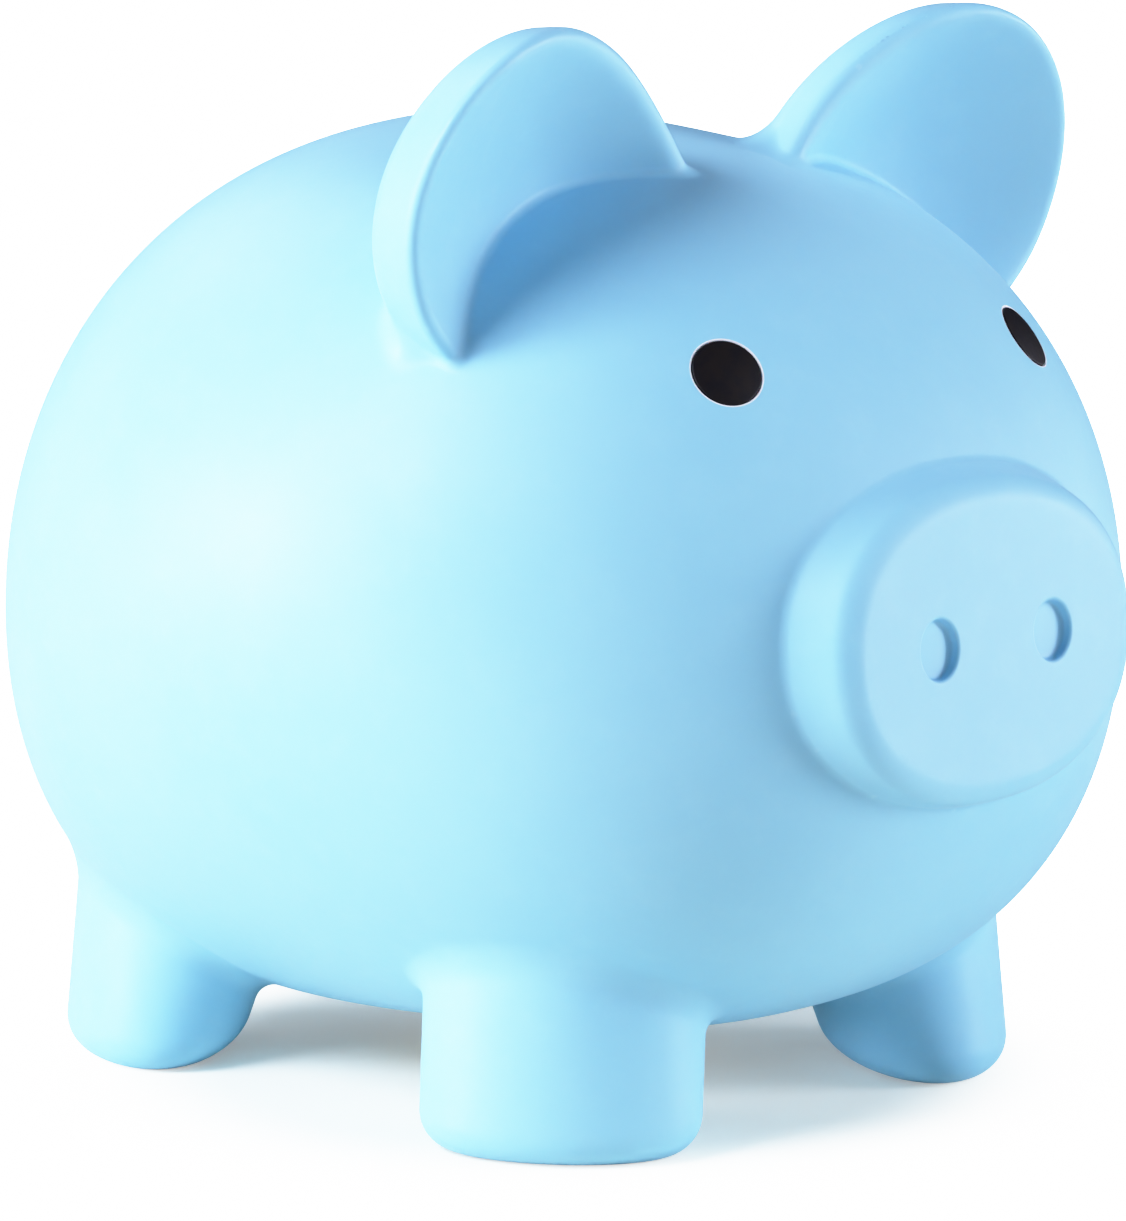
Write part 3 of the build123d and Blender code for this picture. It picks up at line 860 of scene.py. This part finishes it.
def pig_skin(material):
    """Outer face, inner face turned to look into the hollow, and the openings that join them."""
    verts, tris, normals = mesh_field(outer, *SKIN_BOX, OUTER_STEP, OUTER_PASSES)
    in_verts, in_tris, in_normals = mesh_field(hollow, *SKIN_BOX, HOLLOW_STEP)
    normals = np.concatenate([normals, -in_normals])
    tris = np.concatenate([tris, in_tris[:, ::-1] + len(verts)])
    verts = np.concatenate([verts, in_verts])

    nostril_y = FACE_Y + (NOSTRIL_Z - FACE_Z) * math.tan(SNOUT_TILT)
    for sx in (1, -1):
        op = Opening(EYE_AT * [sx, 1, 1], EYE_NORMAL * [sx, 1, 1], (0, 0, 1),
                     circle(EYE_HOLE_R), 64)
        verts, tris = cut_in(verts, tris, op, 3.4, on_outer, eye_rings(op), (-1.3, on_hollow))
        op = Opening((sx * NOSTRIL_X, nostril_y, NOSTRIL_Z), SNOUT_NORMAL, (1, 0, 0),
                     oval(NOSTRIL_HALF_X, NOSTRIL_HALF_Z), 56)
        verts, tris = cut_in(verts, tris, op, 1.9, on_outer, nostril_rings(op))
    op = Opening((0, SLOT_Y, SLOT_AXIS_Z), (0, 0, 1), (1, 0, 0),
                 stadium(SLOT_LENGTH, SLOT_WIDTH), 104)
    verts, tris = cut_in(verts, tris, op, 3.8, on_outer, slot_rings(op), (3.4, on_hollow))
    op = Opening((0, PORT_Y, 0), (0, 0, -1), (1, 0, 0), circle(PORT_R), 120)
    verts, tris = cut_in(verts, tris, op, SEAT_R - PORT_R + 4.0, on_outer, port_rings(op),
                         (3.6, on_hollow))

    normals = np.concatenate([normals, mesh_normals(verts, tris)[len(normals):]])
    used = np.unique(tris)
    new_id = -np.ones(len(verts), np.int64)
    new_id[used] = np.arange(len(used))
    return triangle_object("pig_skin", verts[used], new_id[tris], normals[used], material)


# ------------------------------------------------------------------ stopper
FLANGE_R, FLANGE_Z, FLANGE_HALF = 20.17, 9.85, 0.95
NECK_R, NECK_FOOT, NECK_TOP = 15.7, 9.6, 16.8
BEAD_R, BEAD_Z, BEAD_HALF, BEAD_ROUND = 15.8, 14.9, 0.35, 0.62
CUP_R, CUP_FLOOR = 13.3, 14.0
DISH_R, DISH_MOUTH, DISH_TOP, DISH_SLOPE = 12.4, 8.9, 11.6, 0.35
BAR_HALF_X, BAR_HALF_Y, BAR_FOOT, BAR_TOP = 12.8, 2.0, 9.3, 12.4
WAIST_DEPTH, WAIST_SPREAD = 0.45, 5.5
GATE_R, GATE_Z, GATE_HALF = 1.3, 14.1, 0.35
STOPPER_BOX = (-26, PORT_Y - 26, 6.5), (26, PORT_Y + 26, 18)


def stopper(pts):
    x, y, z = pts[:, 0], pts[:, 1] - PORT_Y, pts[:, 2]
    r = np.hypot(x, y)
    flange = meet(r - FLANGE_R, np.abs(z - FLANGE_Z) - FLANGE_HALF, 0.7)
    neck = np.maximum(meet(r - NECK_R, z - NECK_TOP, 0.7), NECK_FOOT - z)
    bead = np.hypot(np.maximum(np.abs(z - BEAD_Z) - BEAD_HALF, 0), np.abs(r - BEAD_R))
    dist = join(flange, neck, 0.5)
    dist = join(dist, bead - BEAD_ROUND, 0.4)
    # cup, open upwards
    cup = meet(r - CUP_R, CUP_FLOOR - z, 1.2)
    dist = meet(dist, -cup, 0.5)
    # dish with a sloping wall, open downwards
    dish = meet(r - DISH_R + DISH_SLOPE * np.maximum(z - DISH_MOUTH, 0), z - DISH_TOP, 1.0)
    dist = meet(dist, -dish, 0.7)
    # grip bar, waisted in the middle so that it is easy to pinch
    waist = BAR_HALF_Y - WAIST_DEPTH * np.exp(-((x / WAIST_SPREAD) ** 2))
    bar = meet(np.abs(y) - waist, BAR_FOOT - z, 0.7)
    bar = np.maximum(np.maximum(bar, np.abs(x) - BAR_HALF_X), z - BAR_TOP)
    dist = join(dist, bar, 0.8)
    # small gate mark in the middle of the inner floor
    gate = np.maximum(r - GATE_R, np.abs(z - GATE_Z) - GATE_HALF)
    return join(dist, gate, 0.3)


# ------------------------------------------------------------------ eye disc
DOME_R, DOME_RISE, DOME_TOP, DISC_EDGE = 4.36, 0.31, 0.25, 0.18
DISC_R, STEM_R, EYE_SEGMENTS = DOME_R + DISC_EDGE, 2.0, 96
# (radius, height along the eye's axis from the skin): stem, underside, rim
EYE_STATIONS = (
    (0.0, -6.2), (1.6, -6.2), (1.85, -6.1), (STEM_R, -5.85),
    (STEM_R, -5.0), (STEM_R, -3.5), (STEM_R, -2.0), (STEM_R, -1.4),
    (2.15, -1.25), (2.35, -EYE_SEAT_DEPTH), (3.4, -EYE_SEAT_DEPTH), (4.3, -EYE_SEAT_DEPTH),
    (4.46, -1.15), (DISC_R, -1.0), (DISC_R, -0.6), (DISC_R, -0.3),
)


def eye_profile():
    """The stations, then the rounded edge and the dome up to its middle."""
    stations = list(EYE_STATIONS)
    edge_height = DOME_TOP - DOME_RISE - DISC_EDGE
    for degrees in (15, 30, 45, 60, 75):
        a = math.radians(degrees)
        stations.append((DOME_R + DISC_EDGE * math.cos(a), edge_height + DISC_EDGE * math.sin(a)))
    sphere_r = (DOME_R ** 2 + DOME_RISE ** 2) / (2 * DOME_RISE)
    for k in range(13):
        r = DOME_R * (1 - k / 12)
        stations.append((r, math.sqrt(sphere_r * sphere_r - r * r) - sphere_r + DOME_TOP))
    return stations


def lathe(name, profile, origin, axis, material, segments):
    axis = Vector(axis).normalized()
    side = axis.orthogonal().normalized()
    other = axis.cross(side)
    angles = [2 * math.pi * i / segments for i in range(segments)]
    spokes = [side * math.cos(a) + other * math.sin(a) for a in angles]
    bm = bmesh.new()
    rings = []
    for r, height in profile:
        middle = Vector(origin) + axis * height
        if r < 1e-6:
            rings.append([bm.verts.new(middle * MM)])
        else:
            rings.append([bm.verts.new((middle + spoke * r) * MM) for spoke in spokes])
    for a, b in zip(rings[:-1], rings[1:]):
        for i in range(segments):
            j = (i + 1) % segments
            if len(a) == 1:
                bm.faces.new((a[0], b[j], b[i]))
            elif len(b) == 1:
                bm.faces.new((a[i], a[j], b[0]))
            else:
                bm.faces.new((a[i], a[j], b[j], b[i]))
    for face in bm.faces:
        face.smooth = True
    bmesh.ops.recalc_face_normals(bm, faces=bm.faces)
    mesh = bpy.data.meshes.new(name)
    bm.to_mesh(mesh)
    bm.free()
    return add_object(name, mesh, material)


# ------------------------------------------------------------------ materials
class Kit:
    """A new material with one principled shader, and short names for building its nodes."""

    def __init__(self, name):
        self.material = bpy.data.materials.new(name)
        self.material.use_nodes = True
        self.tree = self.material.node_tree
        self.tree.nodes.clear()
        self.output = self.node("OutputMaterial")
        self.shader = self.node("BsdfPrincipled")
        self.put(self.output.inputs[0], self.shader.outputs[0])
        self.co = self.node("TexCoord").outputs["Object"]

    def node(self, kind):
        return self.tree.nodes.new("ShaderNode" + kind)

    def put(self, socket, value):
        if isinstance(value, bpy.types.NodeSocket):
            self.tree.links.new(value, socket)
        else:
            socket.default_value = value

    def fill(self, node, values):
        for key, value in values.items():
            self.put(node.inputs[key], value)

    def noise(self, scale, detail=3.0, rough=0.5, vec=None, distortion=0.0):
        node = self.node("TexNoise")
        self.fill(node, {"Vector": vec or self.co, "Scale": scale, "Detail": detail,
                         "Roughness": rough, "Distortion": distortion})
        return node.outputs["Fac"]

    def math(self, op, a, b=0.0):
        node = self.node("Math")
        node.operation = op
        self.fill(node, {0: a, 1: b})
        return node.outputs[0]

    def times(self, a, b):
        return self.math("MULTIPLY", a, b)

    def vec(self, op, a, b=None, scale=None):
        node = self.node("VectorMath")
        node.operation = op
        self.put(node.inputs[0], a)
        if b is not None:
            self.put(node.inputs[1], b)
        if scale is not None:
            self.put(node.inputs["Scale"], scale)
        return node.outputs["Value" if op in ("DOT_PRODUCT", "LENGTH") else "Vector"]

    def stretched(self, *factors):
        return self.vec("MULTIPLY", self.co, factors)

    def split_co(self):
        node = self.node("SeparateXYZ")
        self.put(node.inputs[0], self.co)
        return node.outputs

    def ramp(self, fac, lo, hi, a=0.0, b=1.0):
        """Smooth step from a, where fac is lo, to b, where it is hi."""
        node = self.node("MapRange")
        node.interpolation_type = "SMOOTHSTEP"
        self.fill(node, {"Value": fac, "From Min": lo, "From Max": hi, "To Min": a, "To Max": b})
        return node.outputs["Result"]

    def mix(self, fac, a, b):
        node = self.node("Mix")
        node.data_type = "RGBA"
        self.put(node.inputs[0], fac)
        for k, colour in ((6, a), (7, b)):
            linked = isinstance(colour, bpy.types.NodeSocket)
            self.put(node.inputs[k], colour if linked else (*colour, 1.0))
        return node.outputs[2]

    def specks(self, scale, channel, above, core, rim):
        """Dots from core to rim in size, in the cells whose colour channel is above a value."""
        node = self.node("TexVoronoi")
        self.fill(node, {"Vector": self.co, "Scale": scale})
        value = self.vec("DOT_PRODUCT", node.outputs["Color"], channel)
        pick = self.math("GREATER_THAN", value, above)
        return self.times(self.ramp(node.outputs["Distance"], core, rim, 1.0, 0.0), pick)

    def bump(self, height, strength, distance, normal=None):
        node = self.node("Bump")
        self.fill(node, {"Strength": strength, "Distance": distance, "Height": height})
        if normal is not None:
            self.put(node.inputs["Normal"], normal)
        return node.outputs["Normal"]


SKIN = (0.285, 0.620, 0.825)
SKIN_DEEP = (0.260, 0.595, 0.810)
SKIN_PALE = (0.312, 0.645, 0.845)
SKIN_WORN = (0.42, 0.72, 0.88)
# painted highlight: near-white for the line round each eye, in place of the glint on the socket's
# edge
EYE_RIM_PAINTED_HIGHLIGHT = (0.93, 0.97, 1.0)


def painted_eye_rim_highlight_mask(kit):
    """Mask of the painted highlight round each eye: 1 within a thin ring's reach of each eye's
    axis, near the skin.
    """
    x, y, z = kit.split_co()
    folded = kit.node("CombineXYZ")
    kit.fill(folded, {0: kit.math("ABSOLUTE", x), 1: y, 2: z})
    rel = kit.vec("SUBTRACT", folded.outputs[0], tuple(EYE_AT * MM))
    axis = tuple(EYE_NORMAL)
    height = kit.vec("DOT_PRODUCT", rel, axis)
    radius = kit.vec("LENGTH", kit.vec("SUBTRACT", rel, kit.vec("SCALE", axis, scale=height)))
    ring = kit.ramp(radius, lo=0.00482, hi=0.00494, a=1.0, b=0.0)
    near = kit.math("LESS_THAN", kit.math("ABSOLUTE", height), 0.004)
    return kit.times(ring, near)


def vinyl():
    kit = Kit("soft_vinyl_blue")
    # slow drift of the pigment, a fine mottling, paler on worn convex edges
    col = kit.mix(kit.ramp(kit.noise(22.0, rough=0.55), lo=0.35, hi=0.68), SKIN, SKIN_DEEP)
    mottle = kit.ramp(kit.noise(170.0, detail=4.0, rough=0.6), lo=0.45, hi=0.75)
    col = kit.mix(kit.times(mottle, 0.35), col, SKIN_PALE)
    convex = kit.node("NewGeometry").outputs["Pointiness"]
    patchy = kit.ramp(kit.noise(260.0, detail=4.0, rough=0.65), lo=0.35, hi=0.65, a=0.35)
    wear = kit.times(kit.ramp(convex, lo=0.525, hi=0.62), patchy)
    col = kit.mix(kit.times(wear, 0.35), col, SKIN_WORN)
    # pinholes and dust: dark specks, then fainter and finer ones
    specks = kit.specks(64.0, channel=(1.0, 0.0, 0.0), above=0.80, core=0.0085, rim=0.017)
    col = kit.mix(kit.times(specks, 0.75), col, (0.045, 0.10, 0.13))
    specks = kit.specks(150.0, channel=(0.0, 1.0, 0.0), above=0.90, core=0.010, rim=0.026)
    col = kit.mix(kit.times(specks, 0.25), col, (0.10, 0.30, 0.42))
    # painted highlight: a pale line round each eye, standing in for the glint on the socket's
    # rounded edge
    col = kit.mix(kit.times(painted_eye_rim_highlight_mask(kit), 0.92), col, EYE_RIM_PAINTED_HIGHLIGHT)
    # sheen of handled places against the dull mould finish
    smudge = kit.noise(14.0, detail=5.0, rough=0.62, distortion=0.6)
    smudge = kit.times(kit.ramp(smudge, lo=0.42, hi=0.70), -0.07)
    rough = kit.math("ADD", 0.50, smudge)
    grain = kit.math("SUBTRACT", kit.noise(900.0, detail=2.0), 0.5)
    rough = kit.math("ADD", rough, kit.times(grain, 0.10))
    # slow unevenness of a cast wall, satin mould grain, faint scuffs
    normal = kit.bump(kit.noise(34.0, detail=2.0, rough=0.45), strength=0.25, distance=0.0006)
    normal = kit.bump(kit.noise(2600.0, detail=2.0, rough=0.55), strength=0.10,
                      distance=0.00003, normal=normal)
    scuff = kit.noise(55.0, detail=6.0, rough=0.75, vec=kit.stretched(1.0, 0.25, 6.0))
    normal = kit.bump(kit.ramp(scuff, lo=0.60, hi=0.66), strength=0.04, distance=0.00004,
                      normal=normal)
    kit.fill(kit.shader, {
        "Base Color": col, "Roughness": rough, "Normal": normal,
        "IOR": 1.48, "Specular IOR Level": 0.42,
        "Subsurface Weight": 0.15, "Subsurface Radius": (0.35, 0.75, 1.0),
        "Subsurface Scale": 0.0017, "Sheen Weight": 0.05, "Sheen Roughness": 0.5})
    return kit.material


def eye_plastic():
    kit = Kit("eye_black_plastic")
    # near-black with slight warm and green mottling
    col = kit.mix(kit.ramp(kit.noise(420.0, detail=4.0, rough=0.6), lo=0.38, hi=0.66),
                  (0.0052, 0.0050, 0.0070), (0.0085, 0.0068, 0.0066))
    mottle = kit.ramp(kit.noise(900.0, rough=0.6), lo=0.55, hi=0.75)
    col = kit.mix(kit.times(mottle, 0.4), col, (0.0070, 0.0085, 0.0078))
    grain = kit.noise(1500.0, detail=4.0, rough=0.6)
    rough = kit.math("ADD", 0.36, kit.times(grain, 0.14))
    # fine grain and hairline scratches
    normal = kit.bump(kit.noise(3200.0, detail=2.0), strength=0.08, distance=0.00002)
    hair = kit.noise(700.0, detail=5.0, rough=0.7, vec=kit.stretched(1.0, 0.12, 3.0))
    normal = kit.bump(kit.ramp(hair, lo=0.62, hi=0.66), strength=0.10, distance=0.00001,
                      normal=normal)
    kit.fill(kit.shader, {"Base Color": col, "Roughness": rough, "Normal": normal,
                          "IOR": 1.49, "Specular IOR Level": 0.14})
    return kit.material


def stopper_vinyl():
    kit = Kit("stopper_soft_vinyl")
    col = kit.mix(kit.ramp(kit.noise(60.0, detail=4.0, rough=0.6), lo=0.35, hi=0.7),
                  (0.79, 0.81, 0.70), (0.72, 0.745, 0.64))
    # dirt in hollows, wear on convex edges
    convex = kit.node("NewGeometry").outputs["Pointiness"]
    patchy = kit.ramp(kit.noise(320.0, detail=4.0, rough=0.6), lo=0.3, hi=0.7)
    dirt = kit.times(kit.ramp(convex, lo=0.49, hi=0.42), patchy)
    col = kit.mix(kit.times(dirt, 0.45), col, (0.42, 0.41, 0.37))
    wear = kit.ramp(convex, lo=0.52, hi=0.60)
    col = kit.mix(kit.times(wear, 0.4), col, (0.90, 0.91, 0.90))
    grain = kit.noise(220.0, detail=4.0, rough=0.6)
    rough = kit.math("ADD", 0.44, kit.times(grain, 0.16))
    normal = kit.bump(kit.noise(1800.0, rough=0.6), strength=0.14, distance=0.00004)
    # turned mould: faint rings round the port's axis
    x, y, _ = kit.split_co()
    x_squared = kit.math("POWER", x, 2.0)
    y_squared = kit.math("POWER", kit.math("SUBTRACT", y, PORT_Y * MM), 2.0)
    radius = kit.math("SQRT", kit.math("ADD", x_squared, y_squared))
    rings = kit.math("SINE", kit.times(radius, 9000.0))
    normal = kit.bump(rings, strength=0.06, distance=0.00002, normal=normal)
    kit.fill(kit.shader, {
        "Base Color": col, "Roughness": rough, "Normal": normal, "IOR": 1.5,
        "Subsurface Weight": 0.35, "Subsurface Radius": (1.0, 0.9, 0.75),
        "Subsurface Scale": 0.002})
    return kit.material


BACKDROP_GLOW = 3.6
# the floor fades to the backdrop between two distances (m), from a first share of glow
FLOOR_NEAR, FLOOR_FAR, FLOOR_LIFT = 0.046, 0.092, 0.07


def floor_paint():
    """White paper, which fades into the white of the background."""
    kit = Kit("studio_floor")
    col = kit.mix(kit.noise(3.0, detail=2.0), (0.885, 0.90, 0.775), (0.91, 0.92, 0.79))
    kit.fill(kit.shader, {"Base Color": col, "Roughness": 0.75, "Specular IOR Level": 0.1})
    glow = kit.node("Emission")
    kit.fill(glow, {0: (1.0, 1.0, 1.0, 1.0), 1: BACKDROP_GLOW})
    ray = kit.node("LightPath")
    far = kit.ramp(kit.vec("LENGTH", kit.co), FLOOR_NEAR, FLOOR_FAR, FLOOR_LIFT, 1.0)
    mix = kit.node("MixShader")
    kit.fill(mix, {0: kit.times(far, ray.outputs["Is Camera Ray"]),
                   1: kit.shader.outputs[0], 2: glow.outputs[0]})
    kit.put(kit.output.inputs[0], mix.outputs[0])
    return kit.material


# ------------------------------------------------------------------ build the pieces
blue = vinyl()
black = eye_plastic()
white = stopper_vinyl()

skin = pig_skin(blue)
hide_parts("body_shell")
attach(skin, "pig")

plug = triangle_object(
    "belly_plug", *mesh_field(stopper, *STOPPER_BOX, STOPPER_STEP, STOPPER_PASSES, 3), white)
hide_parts("belly_stopper")
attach(plug, "stopper")

for sx, side in ((1, "left"), (-1, "right")):
    eye = lathe("eye_disc_" + side, eye_profile(), EYE_AT * [sx, 1, 1],
                EYE_NORMAL * [sx, 1, 1], black, EYE_SEGMENTS)
    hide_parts("eye_" + side)
    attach(eye, "pig")

# ------------------------------------------------------------------ floor and world
FLOOR_HALF = 6
floor_mesh = bpy.data.meshes.new("floor")
floor_mesh.from_pydata([(x * FLOOR_HALF, y * FLOOR_HALF, 0)
                        for x, y in ((-1, -1), (1, -1), (1, 1), (-1, 1))], [], [(0, 1, 2, 3)])
add_object("floor", floor_mesh, floor_paint())


def studio_world():
    """White to the camera, dark to everything else."""
    world = bpy.data.worlds.new("studio")
    bpy.context.scene.world = world
    world.use_nodes = True
    nodes, links = world.node_tree.nodes, world.node_tree.links
    background = nodes["Background"]
    background.inputs[0].default_value = (1.0, 1.0, 1.0, 1.0)
    ray = nodes.new("ShaderNodeLightPath")
    gain = nodes.new("ShaderNodeMapRange")
    gain.inputs["To Min"].default_value = 0.0
    gain.inputs["To Max"].default_value = BACKDROP_GLOW
    links.new(ray.outputs["Is Camera Ray"], gain.inputs["Value"])
    links.new(gain.outputs[0], background.inputs[1])


studio_world()

# ------------------------------------------------------------------ camera
AZIMUTH, ELEVATION = math.radians(-45.023), math.radians(9.311)
ROLL = math.radians(0.078)
CAMERA_DISTANCE, TARGET_RIGHT, TARGET_Z = 782.26, -0.305, 62.822
SENSOR, LENS = 36.0, 169.2569042

back = Vector((math.sin(AZIMUTH) * math.cos(ELEVATION),
               -math.cos(AZIMUTH) * math.cos(ELEVATION), math.sin(ELEVATION)))
right = Vector((0, 0, 1)).cross(back).normalized()


def add_camera():
    up = back.cross(right)
    target = right * (TARGET_RIGHT * MM) + Vector((0, 0, TARGET_Z * MM))
    rolled_right = right * math.cos(ROLL) + up * math.sin(ROLL)
    rolled_up = -right * math.sin(ROLL) + up * math.cos(ROLL)
    data = bpy.data.cameras.new("camera")
    data.sensor_fit = "AUTO"
    data.sensor_width = SENSOR
    data.lens = LENS
    data.clip_start, data.clip_end = 0.05, 30
    camera = bpy.data.objects.new("camera", data)
    bpy.context.scene.collection.objects.link(camera)
    pose = Matrix((rolled_right, rolled_up, back)).transposed().to_4x4()
    pose.translation = target + back * (CAMERA_DISTANCE * MM)
    camera.matrix_world = pose
    bpy.context.scene.camera = camera


add_camera()

# ------------------------------------------------------------------ lights
LIGHT_COLOUR, LIGHT_DISTANCE, LIGHT_AIM_Z = (0.99, 0.98, 1.18), 1.2, 0.07
LIGHTS = (
    # name, direction (right, towards the camera, up), size, watts
    ("side_left", (-0.965, 0.223, 0.139), 0.5, 14.5),
    ("key", (-0.640, 0.475, 0.604), 0.55, 14.8),
    ("upper_left", (-0.354, 0.354, 0.866), 0.5, 0.5),
    ("back_left", (-0.527, -0.628, 0.574), 0.5, 2.0),
    ("side_right", (0.990, 0.035, 0.139), 0.5, 11.2),
    ("upper_right", (0.770, 0.280, 0.574), 0.5, 2.3),
    ("back_right", (0.858, -0.495, 0.139), 0.5, 2.0),
)


def softbox(name, direction, size, watts):
    rightward, toward, upward = direction
    level_back = Vector((back.x, back.y, 0)).normalized()
    d = (right * rightward + level_back * toward + Vector((0, 0, 1)) * upward).normalized()
    light = bpy.data.lights.new(name, "AREA")
    light.shape = "DISK"
    light.size = size
    light.energy = watts
    light.color = LIGHT_COLOUR
    ob = bpy.data.objects.new(name, light)
    bpy.context.scene.collection.objects.link(ob)
    ob.location = Vector((0, 0, LIGHT_AIM_Z)) + d * LIGHT_DISTANCE
    ob.rotation_euler = (-d).to_track_quat("-Z", "Y").to_euler()


for entry in LIGHTS:
    softbox(*entry)

# ------------------------------------------------------------------ tone curve
WHITE_LEVEL, KNEE, SHOULDER = 4.0, 1.0, 4.6
CURVE_STOPS = (0.0, 0.25, 0.45, 0.6, 0.7, 0.8, 0.9, 1.0, 1.15, 1.35, 1.7, 2.3, WHITE_LEVEL)


def tone_curve():
    """A soft shoulder, so that highlights ease into white."""
    view = bpy.context.scene.view_settings
    view.view_transform = "Standard"
    view.look = "None"
    view.use_curve_mapping = True
    mapping = view.curve_mapping
    mapping.use_clip = False
    mapping.extend = "HORIZONTAL"
    curve = mapping.curves[3]
    mapping.white_level = (WHITE_LEVEL,) * 3
    while len(curve.points) < len(CURVE_STOPS):
        curve.points.new(0.5, 0.5)
    for point, x in zip(curve.points, CURVE_STOPS):
        y = x / (1 + (x / KNEE) ** SHOULDER) ** (1 / SHOULDER)
        point.location = (x / WHITE_LEVEL, min(1.0, y))
        point.handle_type = "AUTO_CLAMPED"
    mapping.update()


tone_curve()
